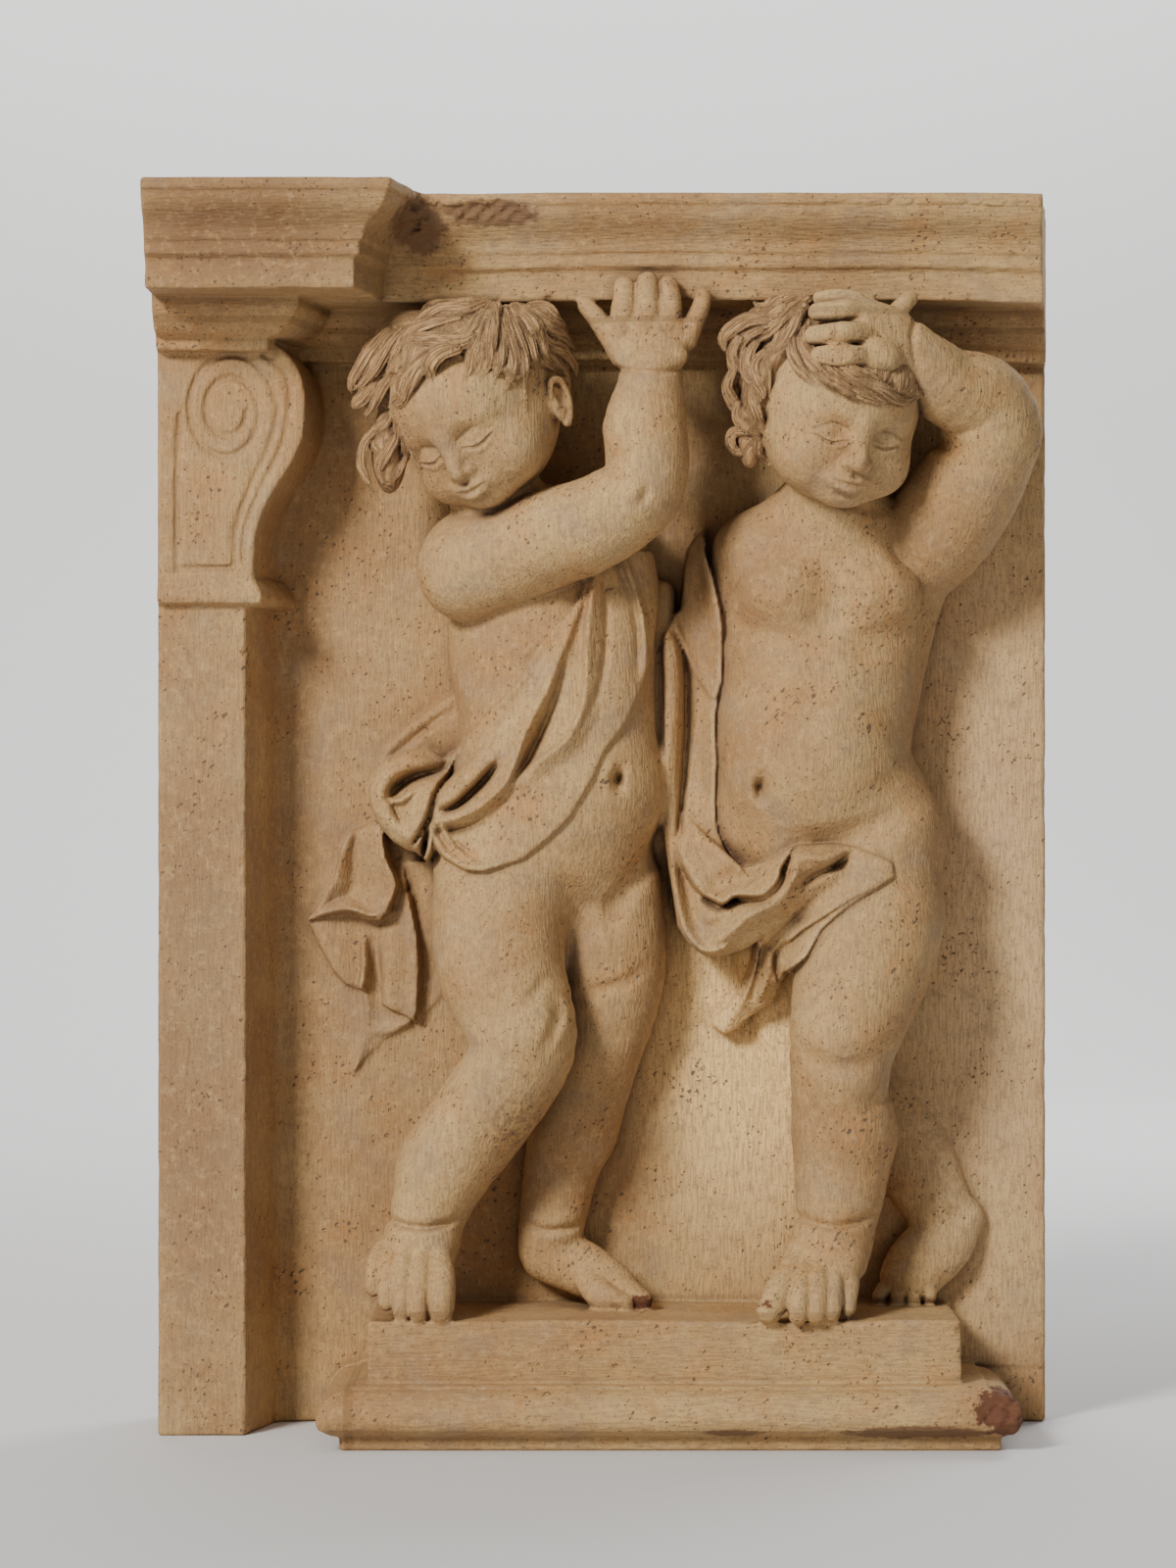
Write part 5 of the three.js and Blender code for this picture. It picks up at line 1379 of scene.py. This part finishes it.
def make_mesh(name, field, triangles):
    vertices, quads = surface(field)
    faces = np.vstack([quads[:, [0, 1, 2]], quads[:, [0, 2, 3]]])
    piece = mesh_from(name, to_frame(vertices), faces)
    mesh = piece.data
    smooth = piece.modifiers.new("even", "SMOOTH")
    smooth.factor = 0.5
    smooth.iterations = 1
    thin = piece.modifiers.new("thin", "DECIMATE")
    thin.ratio = min(triangles / len(faces), 1.0)
    graph = bpy.context.evaluated_depsgraph_get()
    final = bpy.data.meshes.new_from_object(piece.evaluated_get(graph))
    piece.modifiers.clear()
    piece.data = final
    bpy.data.meshes.remove(mesh)
    final.name = name
    final.shade_smooth()
    return piece


def room(fields, points):
    """The least distance to the clay over every field that holds the points."""
    least = fields[0].sample(points)
    for field in fields[1:]:
        top = field.low + field.step * (field.counts - 1)
        held = np.all((points > field.low) & (points < top), axis=1)
        least[held] = np.minimum(least[held], field.sample(points[held]))
    return least


def mark(mesh, fields, bare=None):
    """Stores how sunk and how worn the clay is at each vertex, and whether it's hair."""
    count = len(mesh.vertices)
    points = np.empty(3 * count, np.float32)
    mesh.vertices.foreach_get("co", points)
    points = to_grid(points.reshape(-1, 3).astype(float))
    normals = np.empty(3 * count, np.float32)
    mesh.vertex_normals.foreach_get("vector", normals)
    normals = normals.reshape(-1, 3).astype(float) * (1, -1, 1)
    sunk = np.zeros(count)
    # how enclosed each vertex is; the material paints shade in the hollows by it
    for reach, weight in ((1.6, 0.2), (3.5, 0.25), (8.0, 0.3), (20.0, 0.25)):
        sunk += weight * np.clip(1 - room(fields, points + normals * reach) / reach, 0, 1)
    worn = np.clip(1 + room(fields, points - normals * 3.0) / 3.0, 0, 1)
    hair = np.clip(bare.sample(points) / 2, 0, 1) if bare else np.zeros(count)
    for name, data in (("sunk", sunk), ("worn", worn), ("hair", hair)):
        layer = mesh.attributes.new(name, "FLOAT", "POINT")
        layer.data.foreach_set("value", data.astype(np.float32))
    if bare:
        comb = np.zeros((count, 3), np.float32)
        for axis, values in enumerate(fields[0].comb):
            comb[:, axis] = twin(fields[0], values).sample(points)
        mesh.attributes.new("comb", "FLOAT_VECTOR", "POINT").data.foreach_set("vector", comb.ravel())


def split(piece, labels, names):
    """Parts of one mesh by each face's label, which share their seams and keep the shading."""
    mesh = piece.data
    vertices = np.empty(3 * len(mesh.vertices), np.float32)
    mesh.vertices.foreach_get("co", vertices)
    vertices = vertices.reshape(-1, 3)
    normals = np.empty(3 * len(mesh.vertices), np.float32)
    mesh.vertex_normals.foreach_get("vector", normals)
    normals = normals.reshape(-1, 3)
    corners = np.empty(len(mesh.loops), np.int32)
    mesh.loops.foreach_get("vertex_index", corners)
    faces = corners.reshape(-1, 3)
    parts = []
    for label, name in enumerate(names):
        chosen = faces[labels == label]
        used, flat = np.unique(chosen, return_inverse=True)
        part = mesh_from(name, vertices[used], flat.reshape(-1, 3))
        part.data.shade_smooth()
        part.data.normals_split_custom_set_from_vertices(normals[used])
        for layer in ("sunk", "worn", "hair"):
            data = np.empty(len(mesh.vertices), np.float32)
            mesh.attributes[layer].data.foreach_get("value", data)
            part.data.attributes.new(layer, "FLOAT", "POINT").data.foreach_set("value", data[used])
        parts.append(part)
    bpy.data.objects.remove(piece)
    return parts


# Material

class Nodes:
    """Short ways to add shader nodes and join them."""

    def __init__(self, tree):
        self.tree = tree

    def add(self, kind, inputs=None, **settings):
        node = self.tree.nodes.new(kind)
        for key, value in settings.items():
            setattr(node, key, value)
        for key, value in (inputs or {}).items():
            if isinstance(value, bpy.types.NodeSocket):
                self.tree.links.new(value, node.inputs[key])
            else:
                node.inputs[key].default_value = value
        return node

    def noise(self, vector, scale, detail=4.0, roughness=0.6, stretch=None):
        if stretch:
            vector = self.add("ShaderNodeMapping", {"Vector": vector, "Scale": stretch}).outputs[0]
        inputs = {"Vector": vector, "Scale": scale, "Detail": detail, "Roughness": roughness}
        return self.add("ShaderNodeTexNoise", inputs).outputs["Fac"]

    def steps(self, value, low, high, start=0.0, stop=1.0):
        inputs = {"Value": value, "From Min": low, "From Max": high, "To Min": start, "To Max": stop}
        return self.add("ShaderNodeMapRange", inputs).outputs[0]

    def math(self, operation, a, b=0.0):
        return self.add("ShaderNodeMath", {0: a, 1: b}, operation=operation).outputs[0]

    def mix(self, share, a, b, blend="MIX"):
        node = self.add("ShaderNodeMix", data_type="RGBA", blend_type=blend)
        for slot, value in ((0, share), (6, a), (7, b)):
            if isinstance(value, bpy.types.NodeSocket):
                self.tree.links.new(value, node.inputs[slot])
            else:
                node.inputs[slot].default_value = value
        return node.outputs[2]

    def near(self, place, centre, radii):
        """One at a centre in the object's own space, falling to nought at its radii."""
        shifted = self.add("ShaderNodeVectorMath", {0: place, 1: centre}, operation="SUBTRACT").outputs[0]
        sized = self.add("ShaderNodeVectorMath", {0: shifted, 1: radii}, operation="DIVIDE").outputs[0]
        length = self.add("ShaderNodeVectorMath", {0: sized}, operation="LENGTH").outputs[1]
        return self.steps(length, 1.0, 0.3)


# Where the wash is paler or darker, and a painted shadow under the cornice: colour, share, centre in panel
# millimetres, radii in metres
WASH_TINTS_AND_PAINTED_SHADOW = (
    ((138, 110, 84), 0.2, (120, 8, 400), (0.075, 0.042, 0.42)),
    ((138, 108, 78), 0.65, (26, 60, 250), (0.06, 0.06, 0.4)),
    ((250, 212, 146), 0.9, (395, 8, 240), (0.095, 0.042, 0.19)),
    ((224, 188, 142), 0.6, (560, 8, 340), (0.075, 0.042, 0.4)),
    ((112, 76, 48), 0.75, (70, 140, 785), (0.13, 0.12, 0.06)),
    # painted shadow: a darker band on the bed mould under the cornice's overhang
    ((150, 112, 78), 0.5, (340, 50, 735), (0.3, 0.06, 0.02)),
)
RED_BREAKS = (
    ((566, 120, 26), (0.05, 0.06, 0.024)),
    ((PLINTH_MIDDLE + 69, 108, PLINTH_HEIGHT + 10), (0.011, 0.012, 0.011)),
    ((PLINTH_MIDDLE - 16, 48, PLINTH_HEIGHT + 6), (0.018, 0.014, 0.009)),
)
DARK_BREAKS = (
    ((176, 104, 796), (0.03, 0.055, 0.032)),
    ((222, 98, 806), (0.05, 0.03, 0.014)),
    ((500, 132, 13), (0.075, 0.04, 0.008)),
    ((380, 132, 13), (0.03, 0.04, 0.005)),
)


def strongest(nodes, place, zones):
    """The strongest of several zones at a place."""
    total = 0.0
    for centre, radii in zones:
        total = nodes.math("MAXIMUM", nodes.near(place, spot(*centre), radii), total)
    return total


def rgb(red, green, blue):
    """A screen colour of 0 to 255 as linear values."""
    return tuple(((c / 255 + 0.055) / 1.055) ** 2.4 if c > 10 else c / 3295 for c in (red, green,
                                                                                      blue)) + (1.0,)


def spot(across, forward, up):
    x, y, z = to_frame(np.array([[across, forward, up]], float))[0]
    return (x, y, z)


def terracotta():
    material = bpy.data.materials.new("terracotta")
    material.use_nodes = True
    tree = material.node_tree
    tree.nodes.clear()
    n = Nodes(tree)
    place = n.add("ShaderNodeTexCoord").outputs["Object"]
    sunk = n.add("ShaderNodeAttribute", attribute_name="sunk").outputs["Fac"]
    worn = n.add("ShaderNodeAttribute", attribute_name="worn").outputs["Fac"]
    hair = n.add("ShaderNodeAttribute", attribute_name="hair").outputs["Fac"]
    comb = n.add("ShaderNodeAttribute", attribute_name="comb").outputs["Vector"]
    strands = n.noise(comb, 1.0, 1.0, 0.6, stretch=(0.8, 0.06, 1.0))
    broad = n.noise(place, 8.0, 2.0, 0.6)
    patches = n.noise(place, 28.0, 3.0, 0.65)
    fine = n.noise(place, 170.0, 2.0, 0.7)
    grit = n.noise(place, 560.0, 1.0, 0.6)
    # the brush went along the plinth and the entablature, and up and down the rest
    across, ahead, up = n.add("ShaderNodeSeparateXYZ", {0: place}).outputs
    low, edge = spot(134, 14, 85), spot(128, 8, 89)
    plinth = n.math("MULTIPLY", n.steps(across, edge[0], low[0]), n.steps(ahead, edge[1], low[1]))
    plinth = n.math("MULTIPLY", plinth, n.steps(up, edge[2], low[2]))
    crown = n.math("MULTIPLY", n.steps(up, spot(0, 0, 736)[2], spot(0, 0, 740)[2]),
                   n.steps(ahead, spot(0, 2, 0)[1], spot(0, 8, 0)[1]))
    lying = n.math("MAXIMUM", plinth, crown)
    upright = n.add("ShaderNodeMapping", {"Vector": place, "Scale": (8.0, 8.0, 1.1)}).outputs[0]
    level = n.add("ShaderNodeMapping", {"Vector": place, "Scale": (1.1, 8.0, 8.0)}).outputs[0]
    strokes = n.noise(n.mix(lying, upright, level), 70.0, 1.5, 0.6)

    # the ochre wash, its patches, the paler and darker parts of the panel and the painted shadow under the
    # cornice
    colour = n.mix(n.steps(broad, 0.38, 0.62), rgb(164, 127, 83), rgb(188, 155, 104))
    colour = n.mix(n.steps(patches, 0.52, 0.68, 0.0, 0.5), colour, rgb(180, 128, 74))
    colour = n.mix(n.steps(patches, 0.46, 0.32, 0.0, 0.55), colour, rgb(160, 135, 106))
    for tint, share, centre, radii in WASH_TINTS_AND_PAINTED_SHADOW:
        zone = n.near(place, spot(*centre), radii)
        colour = n.mix(n.math("MULTIPLY", zone, share), colour, rgb(*tint))
    colour = n.mix(n.steps(strokes, 0.42, 0.62, 0.0, 0.4), colour, rgb(138, 110, 80))
    colour = n.mix(n.steps(fine, 0.52, 0.72, 0.0, 0.35), colour, rgb(206, 173, 124))
    colour = n.mix(n.steps(fine, 0.44, 0.3, 0.0, 0.35), colour, rgb(132, 102, 74))

    # rubbed edges, and the dark stain on the left figure's knee and shin
    rubbed = n.steps(n.math("ADD", worn, n.math("MULTIPLY", fine, 0.3)), 0.62, 0.95, 0.0, 0.3)
    rubbed = n.math("MULTIPLY", rubbed, n.steps(hair, 0.0, 1.0, 1.0, 0.3))
    colour = n.mix(rubbed, colour, rgb(206, 177, 134))
    knee = n.near(place, spot(PLINTH_MIDDLE - 100, 80, PLINTH_HEIGHT + 138), (0.042, 0.07, 0.062))
    stain = n.math("MULTIPLY", knee, n.steps(fine, 0.42, 0.56))
    colour = n.mix(n.math("MULTIPLY", stain, 0.6), colour, rgb(104, 78, 58))

    # a browner wash on the hair, with painted shade between its strands and painted highlight along them,
    # and dust and painted shade in the hollows
    colour = n.mix(n.math("MULTIPLY", hair, 0.55), colour, rgb(158, 120, 80))
    # painted shade: dark lines where the strands' bump sinks
    colour = n.mix(n.math("MULTIPLY", hair, n.steps(strands, 0.52, 0.4, 0.0, 0.75)), colour,
                   rgb(98, 70, 48))
    # painted highlight: pale streaks where the strands' bump rises
    colour = n.mix(n.math("MULTIPLY", hair, n.steps(strands, 0.54, 0.66, 0.0, 0.5)), colour,
                   rgb(200, 164, 118))
    # dust and painted shade: the more enclosed a spot, the darker
    dust_and_painted_shade = n.steps(n.math("ADD", sunk, n.math("MULTIPLY", fine, 0.3)), 0.36, 0.86, 0.0, 0.75)
    colour = n.mix(dust_and_painted_shade, colour, rgb(112, 84, 60))
    # painted shade: the deepest hollows darker still
    deep = n.steps(sunk, 0.62, 1.0, 0.0, 0.7)
    colour = n.mix(deep, colour, rgb(78, 58, 44))

    # pits and specks
    ragged = n.add("ShaderNodeVectorMath", {0: place, 1: n.math("MULTIPLY", fine, 0.012)},
                   operation="ADD").outputs[0]
    cells = n.add("ShaderNodeTexVoronoi", {"Vector": ragged, "Scale": 190.0}).outputs["Distance"]
    pit = n.steps(n.math("SUBTRACT", cells, n.steps(patches, 0.38, 0.72, 0.0, 0.26)), 0.06, 0.0)
    colour = n.mix(n.math("MULTIPLY", pit, 0.8), colour, rgb(80, 70, 60))
    colour = n.mix(n.steps(grit, 0.6, 0.68, 0.0, 0.45), colour, rgb(104, 86, 66))

    # the broken clay: red at the plinth's end and on toes, dark at the block's return
    red_zone, dark_zone = (strongest(n, place, zones) for zones in (RED_BREAKS, DARK_BREAKS))
    red = n.steps(n.math("ADD", red_zone, fine), 0.9, 1.02, 0.0, 0.9)
    colour = n.mix(red, colour, rgb(88, 47, 32))
    dark = n.steps(n.math("ADD", dark_zone, fine), 0.9, 1.15, 0.0, 0.75)
    colour = n.mix(dark, colour, rgb(96, 66, 46))

    relief = n.math("ADD", n.math("MULTIPLY", strokes, 1.0), n.math("MULTIPLY", fine, 0.7))
    relief = n.math("ADD", relief, n.math("MULTIPLY", n.math("MULTIPLY", hair, strands), 2.2))
    relief = n.math("SUBTRACT", relief, n.math("MULTIPLY", pit, 0.8))
    bump = n.add("ShaderNodeBump", {"Height": relief, "Strength": 0.6, "Distance": 0.0013})
    shader = n.add("ShaderNodeBsdfPrincipled", {
        "Base Color": colour, "Roughness": n.steps(fine, 0.3, 0.7, 0.72, 0.9), "Normal": bump.outputs[0],
        "Specular IOR Level": 0.32,
    })
    output = n.add("ShaderNodeOutputMaterial")
    tree.links.new(shader.outputs[0], output.inputs[0])
    return material


def plain(name, colour, roughness):
    material = bpy.data.materials.new(name)
    material.use_nodes = True
    shader = material.node_tree.nodes["Principled BSDF"]
    shader.inputs["Base Color"].default_value = colour
    shader.inputs["Roughness"].default_value = roughness
    return material


# Stage, light and camera

def backdrop():
    """A pale floor that curves up into a wall so far back that it hides the relief from no side."""
    front, back, half, top, bend = -9.0, 4.6, 6.0, 5.0, 1.2
    profile = [(front, 0.0), (back - bend, 0.0)]
    for i in range(1, 17):
        angle = math.pi / 2 * i / 16
        profile.append((back - bend + bend * math.sin(angle), bend - bend * math.cos(angle)))
    profile.append((back, top))
    points = [(x, y, z) for y, z in profile for x in (-half, half)]
    faces = [(2 * i, 2 * i + 1, 2 * i + 3, 2 * i + 2) for i in range(len(profile) - 1)]
    mesh = bpy.data.meshes.new("backdrop")
    mesh.from_pydata(points, [], faces)
    mesh.shade_smooth()
    piece = bpy.data.objects.new("backdrop", mesh)
    bpy.context.scene.collection.objects.link(piece)
    mesh.materials.append(plain("backdrop_grey", rgb(214, 213, 212), 0.9))


def area_light(name, place, target, size, power, colour):
    data = bpy.data.lights.new(name, "AREA")
    data.shape = "RECTANGLE"
    data.size, data.size_y = size
    data.energy = power
    data.color = colour
    lamp = bpy.data.objects.new(name, data)
    lamp.location = place
    lamp.visible_camera = False
    bpy.context.scene.collection.objects.link(lamp)
    aim(lamp, target)


def aim(thing, target):
    way = Vector(target) - Vector(thing.location)
    thing.rotation_euler = way.to_track_quat("-Z", "Y").to_euler()


def lights():
    middle = (0.0, 0.0, 0.42)
    area_light("key", (-2.3, -3.3, 2.6), middle, (1.0, 1.0), 262, (1.0, 0.97, 0.92))
    area_light("fill", (2.2, -2.4, 0.7), middle, (1.8, 1.8), 6, (0.93, 0.96, 1.0))
    area_light("wash", (0.0, -0.8, 3.4), (0.0, 0.3, 0.6), (3.0, 1.0), 12, (1.0, 1.0, 1.0))
    area_light("wall", (0.0, 2.9, 3.6), (0.0, 4.6, 1.3), (5.0, 0.6), 190, (1.0, 1.0, 1.0))
    area_light("back", (1.8, 2.4, 2.2), (0.0, 0.1, 0.45), (1.5, 1.5), 60, (1.0, 1.0, 1.0))
    world = bpy.data.worlds.new("studio")
    world.use_nodes = True
    world.node_tree.nodes["Background"].inputs[0].default_value = (0.93, 0.95, 1.0, 1.0)
    world.node_tree.nodes["Background"].inputs[1].default_value = 0.17
    bpy.context.scene.world = world


CAMERA_DISTANCE = 2.6  # from the panel's face, metres
CAMERA_HEIGHT = 0.4013
PIXELS_PER_MM_AT_FACE = 1.5
FRAME_HEIGHT_PX = 1600.0
FRAME_WIDTH_PX = 1200.0
CENTRE_PX = (614.0, 849.0)  # where the camera looks straight ahead


def camera():
    data = bpy.data.cameras.new("camera")
    focal_px = PIXELS_PER_MM_AT_FACE * CAMERA_DISTANCE * 1000
    data.sensor_width = 36.0
    data.lens = data.sensor_width * focal_px / FRAME_HEIGHT_PX
    data.shift_x = (FRAME_WIDTH_PX / 2 - CENTRE_PX[0]) / FRAME_HEIGHT_PX
    data.shift_y = (CENTRE_PX[1] - FRAME_HEIGHT_PX / 2) / FRAME_HEIGHT_PX
    viewer = bpy.data.objects.new("camera", data)
    face_y = node_high[1] - PANEL_THICKNESS / 1000
    viewer.location = (-0.0035, face_y - CAMERA_DISTANCE, CAMERA_HEIGHT)
    viewer.rotation_euler = (math.pi / 2, 0.0, 0.0)
    bpy.context.scene.collection.objects.link(viewer)
    bpy.context.scene.camera = viewer


def main():
    material = terracotta()
    clay, putti = build_body()
    fields, bares = [clay], []
    for head, style in ((LEFT_HEAD, LEFT_HAIR), (RIGHT_HEAD, RIGHT_HAIR)):
        field = Field(head.at - HEAD_REACH, head.at + HEAD_REACH, HEAD_STEP)
        bares.append(head_clay(field, head, style))
        spans, x, f, u = field.window(field.low, field.low + field.step * field.counts)
        # the hair stops at the soffit, and inside the panel
        field.values = np.maximum(field.values, np.maximum(u - SOFFIT - 1.0, -4.0 - f)).astype(np.float32)
        fields.append(field)
    relief = make_mesh("relief", clay, BODY_TRIANGLES)
    mark(relief.data, fields)
    centres = np.empty(3 * len(relief.data.polygons), np.float32)
    relief.data.polygons.foreach_get("center", centres)
    centres = to_grid(centres.reshape(-1, 3).astype(float))
    left, right = (putto.sample(centres) for putto in putti)
    left[centres[:, 0] > putti[0].axes[0][-1]] = FAR
    right[centres[:, 0] < putti[1].axes[0][0]] = FAR
    labels = np.where(np.minimum(left, right) > 1.5, 0, np.where(left < right, 1, 2))
    pieces = split(relief, labels, ("architecture", "left_putto", "right_putto"))
    for name, field, bare in zip(("left_head", "right_head"), fields[1:], bares):
        piece = make_mesh(name, field, HEAD_TRIANGLES)
        mark(piece.data, [field, clay], bare)
        pieces.append(piece)
    for piece in pieces:
        print(piece.name, len(piece.data.polygons))
        piece.data.materials.append(material)
        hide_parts(NODE)
        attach(piece, "root")
    backdrop()
    lights()
    camera()


main()
